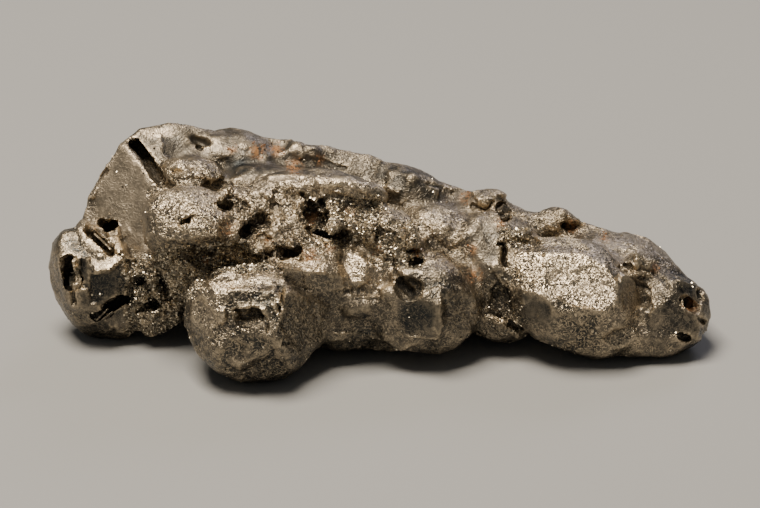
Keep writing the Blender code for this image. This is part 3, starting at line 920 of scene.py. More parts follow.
@dataclass(frozen=True)
class Plate:
    """A thin crystal plate that stands in a slot, along a line of pixels. Other lengths are in mm.

    Its ends are cut off at a share of its length from the middle, each with its own lean.
    """

    start: Pixel
    end: Pixel
    thick: float = 0.1
    deep: float = 1.0
    sunk: float = 0.05
    corner: float = 0.44
    leans: Pair = (0.5, 0.9)
    edge: float = 0.02

    def model(self, name: str, skin: Skin) -> bpy.types.Object:
        """Model the plate: a block at its size and place, with slanting ends and softened edges.

        Args:
            name: Name of the piece.
            skin: The nugget's skin, before the slot is carved into it.

        Returns:
            The plate as a piece.
        """
        start, end = skin.point_at(self.start), skin.point_at(self.end)
        along = (end - start).normalized()
        across = skin.camera.toward().cross(along).normalized()
        out = along.cross(across)
        turn = Matrix((along, across, out)).transposed()
        middle = (start + end) / 2 - out * (self.deep / 2 + self.sunk)
        length = (end - start).length
        bpy.ops.object.select_all(action="DESELECT")
        bpy.ops.mesh.primitive_cube_add(
            size=MM, location=middle * MM, rotation=turn.to_euler(), scale=(length, self.thick, self.deep)
        )
        plate = bpy.context.object
        plate.name = name
        bpy.ops.object.transform_apply(location=True, rotation=True, scale=True)
        bpy.ops.object.mode_set(mode="EDIT")
        for way, lean in zip((1, -1), self.leans):
            corner = middle + along * way * length * self.corner + out * self.deep / 2
            slice_off(corner * MM, along * way + out * lean)
        bpy.ops.object.mode_set(mode="OBJECT")
        finish_with(plate, "BEVEL", width=self.edge * MM, segments=1)
        return plate


# Areas of the nugget, by pixels of the photograph
AREAS: dict[str, Outline] = {
    "slab_face": (
        (93, 200), (100, 178), (112, 158), (126, 143), (157, 184), (150, 197), (146, 212), (147, 232),
        (149, 256), (124, 256), (119, 236), (119, 220), (98, 220),
    ),
    "tail_face": (
        (545, 252), (584, 253), (604, 267), (617, 286), (616, 305), (604, 310), (572, 306), (556, 296),
        (546, 276),
    ),
    "tail_side_face": ((514, 250), (542, 252), (544, 276), (530, 282), (516, 270)),
    "middle_lump_face": ((337, 256), (348, 251), (363, 254), (370, 266), (368, 278), (356, 283), (343, 273)),
    "ridge_face": ((275, 257), (300, 256), (328, 266), (328, 274), (297, 267)),
    "left_ledge": ((92, 253), (124, 254), (122, 259), (110, 270), (95, 272)),
    "front_ledge": (
        (208, 283), (222, 276), (246, 273), (270, 275), (277, 282), (252, 286), (224, 290), (210, 289),
    ),
    "front_side_face": ((192, 286), (218, 288), (228, 320), (204, 332), (190, 318)),
    "crescent_face": ((401, 300), (424, 294), (442, 310), (438, 334), (412, 334), (400, 322)),
    "left_lump_front": ((89, 274), (118, 272), (118, 300), (90, 303)),
    "left_lump_recess": ((80, 258), (90, 258), (88, 288), (77, 287)),
    "left_lump_foot": ((104, 311), (128, 303), (134, 322), (110, 330)),
    "front_lump_right": ((284, 288), (316, 300), (322, 342), (300, 352), (280, 326)),
    "front_lump_brow": ((213, 292), (248, 291), (276, 287), (284, 308), (262, 303), (232, 308), (216, 310)),
    "front_lump_chin": ((224, 340), (248, 335), (272, 342), (268, 354), (239, 369), (226, 356)),
    "wedge_cavity_floor": ((252, 226), (273, 238), (266, 246), (247, 230)),
    "wedge_crystal_front": (
        (277, 263), (296, 268), (328, 276), (352, 290), (322, 292), (303, 291), (288, 284),
    ),
    "middle_lump_right": ((370, 256), (386, 262), (392, 284), (372, 290), (364, 282), (370, 268)),
    "middle_lump_foot": ((350, 281), (364, 280), (372, 290), (352, 290)),
    "crescent_lump_right": ((444, 300), (470, 298), (472, 334), (446, 336)),
    "tail_lump_top": ((532, 236), (580, 236), (588, 250), (546, 248)),
    "tail_lump_left": ((523, 290), (546, 296), (552, 312), (546, 324), (526, 312)),
    "tail_lump_foot": ((556, 312), (600, 314), (596, 332), (574, 346), (556, 338)),
    "tail_lump_right": ((620, 274), (644, 272), (648, 304), (622, 312)),
    "tail_lump_small_face": ((602, 338), (614, 329), (634, 327), (638, 338), (618, 350)),
    "slab_top": ((128, 130), (166, 124), (300, 134), (300, 176), (230, 182), (160, 166)),
    "slab_right": ((300, 136), (470, 176), (470, 212), (390, 200), (300, 176)),
    "small_lump": ((160, 158), (224, 158), (224, 188), (160, 188)),
    "speckled_lump": ((146, 190), (235, 186), (236, 236), (160, 244)),
    "left_lump": ((52, 225), (122, 222), (122, 335), (60, 335)),
    "left_rubble": ((122, 256), (190, 250), (190, 340), (122, 340)),
    "grainy_hollow": ((165, 243), (285, 243), (285, 278), (260, 300), (165, 300)),
    "middle_mass": ((236, 182), (330, 180), (350, 250), (240, 258)),
    "crest_bar_right": ((318, 176), (390, 184), (388, 198), (320, 196)),
    "front_lump": ((188, 258), (325, 286), (325, 381), (188, 381)),
    "wedge_crystal": ((276, 262), (328, 274), (396, 296), (396, 336), (326, 340)),
    "middle_lump": ((339, 250), (394, 252), (394, 296), (339, 294)),
    "pitted_lump": ((370, 212), (420, 214), (424, 268), (372, 268)),
    "smooth_knob": ((418, 210), (466, 210), (466, 244), (418, 246)),
    "crescent_lump": ((396, 262), (480, 262), (480, 345), (396, 345)),
    "neck": ((470, 222), (502, 222), (502, 276), (470, 276)),
    "under_neck": ((484, 272), (524, 272), (524, 338), (484, 338)),
    "neck_ledge": ((500, 226), (530, 226), (530, 246), (500, 246)),
    "tail_lump": ((512, 236), (648, 236), (648, 312), (512, 310)),
    "tail_lump_left_side": ((518, 288), (556, 290), (556, 335), (518, 325)),
    "tail_lump_underside": ((556, 310), (640, 312), (640, 358), (556, 358)),
    "tail": ((620, 230), (716, 230), (716, 360), (645, 360), (640, 300)),
    "before_tail": ((618, 250), (660, 262), (668, 300), (650, 310), (630, 280)),
    "slab_behind": (
        (80, 120), (480, 120), (480, 212), (394, 206), (240, 186), (150, 200), (146, 256), (80, 220),
    ),
    "speckled_lump_and_below": ((146, 190), (235, 186), (236, 256), (160, 262)),
    "middle_mass_and_bar": ((236, 182), (390, 180), (390, 250), (240, 258)),
    "pitted_lump_and_knob": ((370, 212), (466, 212), (466, 262), (372, 268)),
    "tail_lump_faces": ((512, 240), (615, 248), (618, 312), (540, 306), (512, 280)),
    "tail_lump_left_shade": ((520, 290), (552, 300), (550, 326), (520, 316)),
    "tail_lump_lower": ((556, 306), (640, 306), (640, 352), (556, 352)),
    "tail_tip": ((645, 260), (716, 280), (716, 345), (645, 345)),
    "left_lump_dark_faces": (
        (88, 273), (119, 271), (119, 301), (134, 322), (110, 330), (76, 300), (77, 258), (88, 258),
    ),
    "crust": (
        (158, 250), (226, 244), (262, 252), (266, 266), (250, 275), (230, 268), (208, 274), (190, 298),
        (160, 312),
    ),
    "crust_by_left_lump": ((122, 256), (160, 256), (180, 330), (128, 336)),
    "crust_under_bar": ((304, 196), (380, 196), (380, 244), (304, 244)),
    "crust_on_pitted_lump": ((370, 222), (420, 222), (420, 266), (370, 266)),
    "crust_on_neck_ledge": ((500, 228), (530, 228), (530, 246), (500, 246)),
    "slab_face_foot": ((118, 238), (146, 238), (148, 256), (124, 256)),
    "slab_crest": ((128, 128), (166, 124), (300, 134), (440, 176), (440, 200), (300, 180), (165, 168)),
    "left_lump_lower": ((50, 225), (90, 222), (122, 262), (122, 335), (60, 335)),
    "left_lump_lobe": (
        (80, 220), (94, 222), (120, 244), (124, 258), (110, 270), (94, 272), (90, 256), (78, 240),
    ),
    "grainy_hollow_upper": ((165, 243), (285, 243), (285, 262), (260, 276), (165, 310)),
    "front_lump_upper": ((190, 290), (325, 290), (325, 336), (190, 336)),
    "front_lump_under_ledge": (
        (207, 290), (252, 288), (284, 284), (292, 308), (276, 312), (234, 314), (214, 316),
    ),
    "front_lump_lower": ((190, 332), (325, 332), (325, 385), (190, 385)),
    "front_lump_glint": ((227, 358), (234, 354), (245, 366), (239, 373)),
    "above_front_ledge": ((196, 268), (232, 258), (284, 262), (278, 272), (236, 271), (206, 282)),
    "under_wedge_crystal": ((276, 274), (330, 276), (396, 296), (396, 336), (326, 342)),
    "deep_hole": ((300, 192), (330, 196), (330, 224), (304, 226)),
    "under_bar": ((330, 194), (378, 196), (376, 212), (334, 210)),
    "crest_bar": ((252, 178), (300, 174), (384, 184), (388, 198), (318, 196), (256, 192)),
    "crest_bar_crown": ((314, 178), (350, 178), (368, 188), (364, 196), (318, 192)),
    "middle_lump_crown": ((328, 250), (350, 244), (376, 250), (392, 268), (390, 292), (362, 296), (338, 284)),
    "middle_lump_right_side": ((364, 254), (390, 260), (394, 286), (372, 290)),
    "crescent_lump_and_above": ((396, 264), (480, 262), (480, 345), (396, 345)),
    "neck_and_knob": ((464, 222), (502, 222), (502, 276), (470, 276)),
    "neck_streak": ((470, 258), (479, 260), (482, 298), (474, 300)),
    "tail_tip_and_below": ((640, 262), (716, 280), (716, 350), (645, 350)),
    "tail_lump_left_crown": ((514, 248), (545, 252), (556, 296), (530, 284)),
    "tail_lump_shade": ((518, 290), (556, 306), (640, 314), (640, 326), (600, 358), (556, 358), (518, 330)),
    "tail_lump_right_side": ((618, 268), (646, 268), (650, 306), (620, 314)),
    "tail_lump_corner": ((596, 306), (642, 304), (642, 352), (600, 352)),
    "slab_crest_glint": ((143, 130), (172, 128), (172, 136), (146, 138)),
    "crust_left_side": ((165, 250), (196, 252), (200, 286), (180, 310), (160, 310)),
}

# Flat faces, in the order that they are pressed in
FACETS: dict[str, Facet] = {
    "slab_face": Facet(-24, 29),
    "left_ledge": Facet(-6, 62, 0.0, 1.5),
    "left_lump_front": Facet(6, 8, 0.06, 2.5),
    "left_lump_recess": Facet(-42, 10, 0.2, 1.5),
    "left_lump_foot": Facet(4, 2, 0.05),
    "front_ledge": Facet(-4, 70, 0.0, 2),
    "front_side_face": Facet(-46, 22),
    "front_lump_right": Facet(52, 4, 0.05),
    "front_lump_brow": Facet(-6, 24),
    "front_lump_chin": Facet(-8, 8, 0.0, 6),
    "wedge_cavity_floor": Facet(25, 15, 0.35, 2),
    "ridge_face": Facet(-2, 56, 0.0, 2),
    "wedge_crystal_front": Facet(12, -2, 0.05, 2),
    "middle_lump_face": Facet(-16, 40, 0.0, 7),
    "middle_lump_right": Facet(22, 26, 0.0, 5),
    "middle_lump_foot": Facet(4, -12, 0.05, 2),
    "crescent_face": Facet(-24, 4, 0.0, 10),
    "crescent_lump_right": Facet(34, 6),
    "tail_side_face": Facet(-34, 40, 0.0, 2),
    "tail_face": Facet(2, 42, 0.0, 1.5),
    "tail_lump_top": Facet(-4, 74, 0.0, 2.5),
    "tail_lump_left": Facet(-34, -4, 0.05),
    "tail_lump_foot": Facet(2, -14, 0.0, 6),
    "tail_lump_right": Facet(56, 16),
    "tail_lump_small_face": Facet(8, 18, 0.0, 2.5),
}

# Lines that are carved and raised, by pixels of the photograph
STROKES: dict[str, Stroke] = {
    "slab_left_nick": Stroke(((91, 194), (97, 182), (107, 170)), 0.25, 0.2),
    "slab_pit": Stroke(((198, 147), (201, 148)), 0.28, 0.3),
    "slab_furrow": Stroke(((322, 160), (334, 166), (344, 168)), 0.3, 0.15),
    "slab_right_furrow": Stroke(((428, 184), (440, 188), (452, 192)), 0.25, 0.15),
    "small_lump_pit": Stroke(((173, 171), (181, 171)), 0.3, 0.3),
    "small_lump_sill": Stroke(((164, 186), (190, 188), (222, 184)), 0.3, 0.12),
    "small_lump_crack": Stroke(((186, 168), (200, 171), (206, 178)), 0.25, 0.15, Profile.CRACK),
    "speckled_slot": Stroke(((180, 226), (186, 221), (193, 216)), 0.25, 0.3),
    "speckled_pit_left": Stroke(((218, 205), (224, 208), (230, 211)), 0.35, 0.35),
    "speckled_pit_right": Stroke(((232, 198), (240, 202), (247, 205)), 0.35, 0.35),
    "speckled_crack": Stroke(((196, 214), (210, 222), (226, 226)), 0.2, 0.12, Profile.CRACK),
    "ledge_slot_outer_bank": Stroke(((84, 228), (88, 240), (100, 252)), 0.9, 0.22, Profile.BEAD),
    "ledge_slot_inner_bank": Stroke(((104, 228), (114, 238), (120, 250)), 0.5, 0.15, Profile.BEAD),
    "ledge_slot": Stroke(((89, 232), (99, 241), (111, 252)), 0.55, 0.8),
    "black_notch": Stroke(((102, 223), (108, 228), (114, 224)), 0.5, 0.7),
    "side_recess": Stroke(((69, 264), (71, 274), (73, 282)), 1.1, 0.8),
    "side_recess_tail": Stroke(((72, 286), (72, 295), (74, 303)), 0.3, 0.35),
    "lower_notch": Stroke(((108, 309), (118, 303), (128, 299)), 0.5, 0.4),
    "left_lump_edge": Stroke(((94, 273), (108, 272), (122, 260), (136, 259)), 0.18, 0.14, Profile.RIDGE),
    "rubble_gap_left": Stroke(((128, 262), (134, 280), (130, 296)), 0.35, 0.3),
    "rubble_gap_middle": Stroke(((142, 268), (150, 284), (148, 300)), 0.35, 0.4),
    "rubble_gap_right": Stroke(((158, 272), (166, 290), (172, 306)), 0.35, 0.4),
    "rubble_foot": Stroke(((138, 312), (152, 304), (166, 312)), 0.35, 0.35),
    "grainy_hollow_sill": Stroke(((172, 266), (200, 264), (228, 262)), 2.2, 0.3, Profile.BEAD),
    "grainy_hollow_knob": Stroke(((172, 282), (184, 274)), 1.6, 0.3, Profile.BEAD),
    "undercut_left": Stroke(((196, 250), (212, 250), (228, 249)), 0.45, 0.3),
    "undercut_right": Stroke(((226, 258), (236, 266), (246, 274)), 0.45, 0.3),
    "wedge_cavity_crack": Stroke(((238, 220), (246, 225), (252, 229)), 0.18, 0.35, Profile.CRACK),
    "wedge_cavity_point": Stroke(((247, 228), (253, 232)), 0.45, 0.6),
    "cavity_left_wall": Stroke(((288, 230), (291, 240), (300, 246)), 0.45, 0.25),
    "slot_over_ridge": Stroke(((279, 249), (290, 253), (301, 258)), 0.35, 0.5),
    "slot_over_hollow": Stroke(((256, 255), (264, 257), (273, 254)), 0.3, 0.45),
    "bar_left_rim": Stroke(((250, 188), (261, 177), (290, 176), (312, 177)), 0.3, 0.14, Profile.BEAD),
    "bar_crown": Stroke(((318, 183), (348, 181), (366, 190), (384, 197)), 0.6, 0.22, Profile.BEAD),
    "bar_undercut": Stroke(((331, 197), (345, 201), (360, 205), (374, 206)), 0.7, 0.25),
    "hole_upper_left": Stroke(((302, 194), (308, 200), (314, 206)), 0.3, 0.5),
    "deep_hole": Stroke(((308, 206), (313, 214), (318, 222)), 0.8, 0.7),
    "shard_gap": Stroke(((320, 201), (325, 210), (327, 218)), 0.35, 0.8, Profile.CRACK),
    "shard_rim": Stroke(((316, 225), (326, 230), (341, 225)), 0.35, 0.25, Profile.BEAD),
    "smiling_cavity": Stroke(((309, 230), (318, 237), (330, 238), (345, 232)), 0.5, 0.6),
    "cavity_corner": Stroke(((325, 240), (326, 246)), 0.3, 0.4),
    "middle_furrow": Stroke(((262, 196), (276, 206), (284, 220)), 0.3, 0.25),
    "bar_furrow": Stroke(((284, 190), (296, 200), (300, 214)), 0.28, 0.22),
    "ridge_edge": Stroke(((276, 260), (296, 266), (327, 273)), 0.2, 0.18, Profile.RIDGE),
    "middle_lump_lip": Stroke(((356, 296), (368, 298), (379, 296)), 0.18, 0.12, Profile.BEAD),
    "middle_lump_undercut": Stroke(((346, 291), (360, 293), (376, 292)), 0.35, 0.15),
    "pitted_slot": Stroke(((377, 226), (377, 244)), 0.35, 0.3),
    "pitted_upper": Stroke(((408, 251), (417, 250)), 0.35, 0.4),
    "pitted_lower": Stroke(((411, 261), (421, 261)), 0.4, 0.4),
    "pitted_left": Stroke(((387, 259), (394, 260)), 0.4, 0.4),
    "pitted_right": Stroke(((402, 228), (408, 236), (406, 244)), 0.3, 0.3),
    "knob_fold_upper": Stroke(((420, 238), (430, 226), (448, 222)), 0.15, 0.09, Profile.CRACK),
    "knob_fold_lower": Stroke(((428, 242), (440, 232), (460, 230)), 0.15, 0.09, Profile.CRACK),
    "knob_bank": Stroke(((430, 254), (446, 250), (464, 238)), 0.25, 0.14, Profile.BEAD),
    "crescent_hollow": Stroke(((397, 274), (402, 284), (410, 291)), 0.55, 0.35),
    "crescent_foot": Stroke(((398, 333), (418, 337), (438, 338)), 0.16, 0.12, Profile.RIDGE),
    "crescent_fold_upper": Stroke(((442, 306), (456, 312), (470, 310)), 0.12, 0.07, Profile.RIDGE),
    "crescent_fold_lower": Stroke(((444, 318), (458, 324), (470, 320)), 0.12, 0.07, Profile.RIDGE),
    "neck_seam": Stroke(((471, 240), (472, 268), (478, 303)), 0.25, 0.08, Profile.CRACK),
    "neck_ledge_gap": Stroke(((500, 244), (514, 240), (528, 242)), 0.35, 0.3),
    "rubble_gap_under_neck": Stroke(((498, 318), (512, 324), (520, 330)), 0.4, 0.4),
    "front_lump_crack": Stroke(((258, 312), (266, 318), (268, 332)), 0.25, 0.2, Profile.CRACK),
    "pit_rim_left": Stroke(((234, 316), (242, 308), (258, 300), (268, 294)), 0.35, 0.14, Profile.BEAD),
    "pit_rim_right": Stroke(((262, 300), (274, 306), (280, 318)), 0.35, 0.14, Profile.BEAD),
    "front_chin_edge": Stroke(((226, 358), (239, 370), (254, 362), (270, 353)), 0.14, 0.05, Profile.RIDGE),
    "front_right_edge": Stroke(((278, 290), (282, 310), (276, 330)), 0.18, 0.1, Profile.RIDGE),
    "tail_side_seam": Stroke(((544, 252), (542, 266), (548, 284)), 0.16, 0.06, Profile.CRACK),
    "tail_face_foot": Stroke(((556, 297), (572, 307), (604, 311)), 0.2, 0.12, Profile.RIDGE),
    "tail_face_right_edge": Stroke(((604, 266), (618, 286), (617, 306)), 0.18, 0.12, Profile.RIDGE),
    "small_face_edge": Stroke(
        ((601, 340), (613, 328), (636, 325), (640, 338), (618, 352)), 0.16, 0.08, Profile.RIDGE,
    ),
    "gap_before_tail": Stroke(((620, 267), (634, 278), (649, 290)), 0.25, 0.25),
    "gap_behind_tail_lump": Stroke(((640, 268), (656, 274), (668, 286)), 0.35, 0.2),
    "tail_pit": Stroke(((685, 300), (690, 304), (695, 308)), 0.6, 0.5),
    "tail_upper_pit": Stroke(((700, 291), (701, 297)), 0.35, 0.5),
    "tail_slot": Stroke(((680, 336), (688, 339)), 0.35, 0.4),
    "tail_lower_pit": Stroke(((700, 319), (704, 322)), 0.3, 0.35),
    "knob_pit": Stroke(((502, 208), (506, 216)), 0.7, 0.7),
    "crest_gap": Stroke(((472, 206), (486, 210), (492, 202)), 0.3, 0.3),
    "pit_before_knob": Stroke(((564, 225), (572, 226), (581, 224)), 0.45, 0.5),
    "belly_edge": Stroke(((334, 333), (360, 333), (384, 340)), 0.2, 0.14, Profile.RIDGE),
}

# Thin plates that stand in the slots, by pixels of the photograph
PLATES: dict[str, Plate] = {
    "in_ledge_slot": Plate((93, 233), (112, 250), 0.11),
    "in_lower_notch_left": Plate((97, 319), (110, 308), sunk=-0.7),
    "in_lower_notch_right": Plate((102, 320), (114, 311), sunk=-0.6),
}

# How rough the skin is, from zero to one. Here and below, a second number is a rim in pixels other than
# the usual one.
ROUGH_ELSEWHERE = 0.5
ROUGHNESS: dict[str, Layer] = {
    "slab_face": 0.05, "slab_top": 0.1, "slab_right": 0.3, "small_lump": 0.45, "speckled_lump": 0.6,
    "left_lump": 0.2, "left_rubble": 0.9, "grainy_hollow": 0.8, "middle_mass": 0.8, "crest_bar_right": 0.3,
    "front_lump": 0.3, "wedge_crystal": 0.2, "middle_lump": 0.25, "pitted_lump": 0.9, "smooth_knob": 0.3,
    "crescent_lump": 0.3, "crescent_face": 0.05, "neck": 0.15, "under_neck": 0.8, "neck_ledge": 0.9,
    "tail_lump": 0.12, "tail_lump_left_side": 0.15, "tail_lump_underside": 0.3, "tail": 0.25,
    "before_tail": 0.7,
}

# How strongly the skin glints in flakes, from zero to one: it tilts the flakes and sets the gloss, and it
# scales the painted glints, painted highlights and painted flake shade in the colour
GLINT_ELSEWHERE = 0.5
GLINTS: dict[str, Layer] = {
    "slab_behind": (0.0, 8), "small_lump": 0.7, "speckled_lump_and_below": 0.9, "grainy_hollow": 1.0,
    "middle_mass_and_bar": 0.8, "front_lump": 0.7, "front_ledge": (1.0, 4), "front_side_face": 0.9,
    "middle_lump_face": (0.9, 8), "pitted_lump_and_knob": 0.8, "crescent_face": (0.25, 9), "neck": 0.15,
    "tail_lump_faces": (1.0, 3), "tail_lump_left_shade": (0.15, 7), "tail_lump_lower": 0.9, "tail_tip": 0.4,
    "left_lump_dark_faces": (0.2, 3),
}

# Where small crystals crust the skin, from zero to one
GRAINY: dict[str, Layer] = {
    "crust": 1.0, "crust_by_left_lump": 0.25, "under_neck": 0.02, "crust_under_bar": 0.3,
    "crust_on_pitted_lump": 0.2, "crust_on_neck_ledge": 0.4,
}

# How pale the skin is painted, from zero to one: partly the tarnish's own tone, and partly painted light and
# shade, with painted highlights on the bright faces, ledges and rims, and painted shade on faces that turn
# away or lie under ledges
PALE_ELSEWHERE = 0.45
PALENESS: dict[str, Layer] = {
    "slab_face": 1.05, "slab_face_foot": 0.7, "slab_crest": (0.2, 8), "speckled_lump": (0.85, 8),
    "left_lump_lower": (-0.1, 6), "left_lump_lobe": (0.6, 3), "left_rubble": (0.08, 8),
    "grainy_hollow_upper": (0.4, 6), "front_lump_upper": (0.15, 8), "front_lump_under_ledge": (0.1, 3),
    "front_lump_lower": (0.2, 8), "front_lump_glint": (0.9, 2), "small_lump": 0.3,
    "above_front_ledge": (0.0, 3), "front_ledge": (1.2, 4), "front_side_face": 0.8,
    "under_wedge_crystal": (0.2, 6), "deep_hole": 0.1, "under_bar": 0.1, "crest_bar": 0.6,
    "crest_bar_crown": 0.9, "ridge_face": (1.0, 2), "middle_lump_crown": (0.6, 8),
    "middle_lump_face": (1.0, 8), "middle_lump_right_side": 0.8, "crescent_lump_and_above": (0.2, 6),
    "crescent_face": (-0.2, 9), "neck_and_knob": 0.14, "neck_streak": (0.9, 4), "under_neck": (0.25, 6),
    "tail_tip_and_below": (0.15, 8), "tail_lump_left_crown": (0.8, 3), "tail_side_face": (1.1, 3),
    "tail_face": (1.3, 2), "tail_lump_shade": 0.08, "tail_lump_right_side": 0.5, "tail_lump_corner": 0.6,
    "slab_crest_glint": (1.1, 3), "crust_left_side": (0.7, 8),
}

# Orange-brown stains, by pixels of the photograph
STAINS: dict[str, Spot] = {
    "slab_upper_left": Spot((258, 151), 8), "slab_upper": Spot((276, 149), 7),
    "slab_middle": Spot((294, 167), 8), "slab_left": Spot((232, 149), 5, 0.7),
    "slab_right": Spot((318, 160), 6, 0.7), "speckled_lump": Spot((229, 230), 5),
    "below_ridge": Spot((310, 257), 8), "ridge_end": Spot((330, 248), 5, 0.8),
    "deep_hole": Spot((312, 216), 6), "smiling_cavity": Spot((312, 226), 4),
    "pitted_lump_left": Spot((378, 250), 6), "pitted_lump_right": Spot((417, 252), 6),
    "ridge_foot": Spot((308, 262), 4), "neck_ledge": Spot((500, 223), 5),
    "pit_before_knob": Spot((571, 226), 7), "tail_pit": Spot((690, 305), 7),
    "neck_streak": Spot((475, 276), 8), "neck_top": Spot((472, 250), 5),
    "wedge_cavity": Spot((268, 240), 4, 0.8), "crust": Spot((205, 262), 5, 0.8),
    "bar_foot": Spot((350, 212), 5, 0.7), "crest_gap": Spot((466, 198), 6, 0.7),
    "before_tail": Spot((654, 268), 5, 0.7), "tail_lump_top": Spot((604, 238), 5, 0.7),
}


# Values that are painted on the skin for its finish
PAINTED = ("cavity", "crease", "wear", "rough", "pale", "glint", "stain")


# The pieces


@dataclass
class Made:
    """What is built in the drawing's place, and where it goes in the finished frame."""

    nugget: bpy.types.Object
    plates: bpy.types.Object
    skin: Skin
    values: dict[str, Array]
    middle: Vector
    scale: float

    def dress(self, piece: bpy.types.Object, material: bpy.types.Material) -> None:
        """Move a piece to the finished frame, give it its finish, and tie it to the part.

        Args:
            piece: The piece, in the drawing's place.
            material: Its finish.
        """
        piece.data.transform(Matrix.Scale(self.scale, 4) @ Matrix.Translation(-self.middle * MM))
        piece.data.materials.clear()
        piece.data.materials.append(material)
        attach(piece, ROOT)
        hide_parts(NUGGET)


@dataclass(frozen=True)
class Breakage:
    """Small flat faces that the skin is broken into. Lengths are in mm.

    Lean is how far a face leans away from the skin, evened says how widely the skin's own slope is averaged
    before that, and span is how far in and out the points may move.
    """

    size: float
    lean: float
    evened: int
    seed: int
    span: Pair


@dataclass(frozen=True)
class PaintedTopLight:
    """Painted top light: how pale a point is painted, at this level and more the further it faces upward,
    within a span.
    """

    level: float = 0.5
    upward: float = 0.7
    span: Pair = (0.1, 1.1)
    evened: int = 8

    def weigh(self, skin: Skin) -> Array:
        """Weigh how pale each point is painted as painted light from above: the tops most, and the undersides
        least.

        Args:
            skin: The nugget's skin.

        Returns:
            A weight for each point.
        """
        upward = skin.blur(skin.normals, self.evened)[:, 2]
        return np.clip(self.level + self.upward * upward, *self.span)


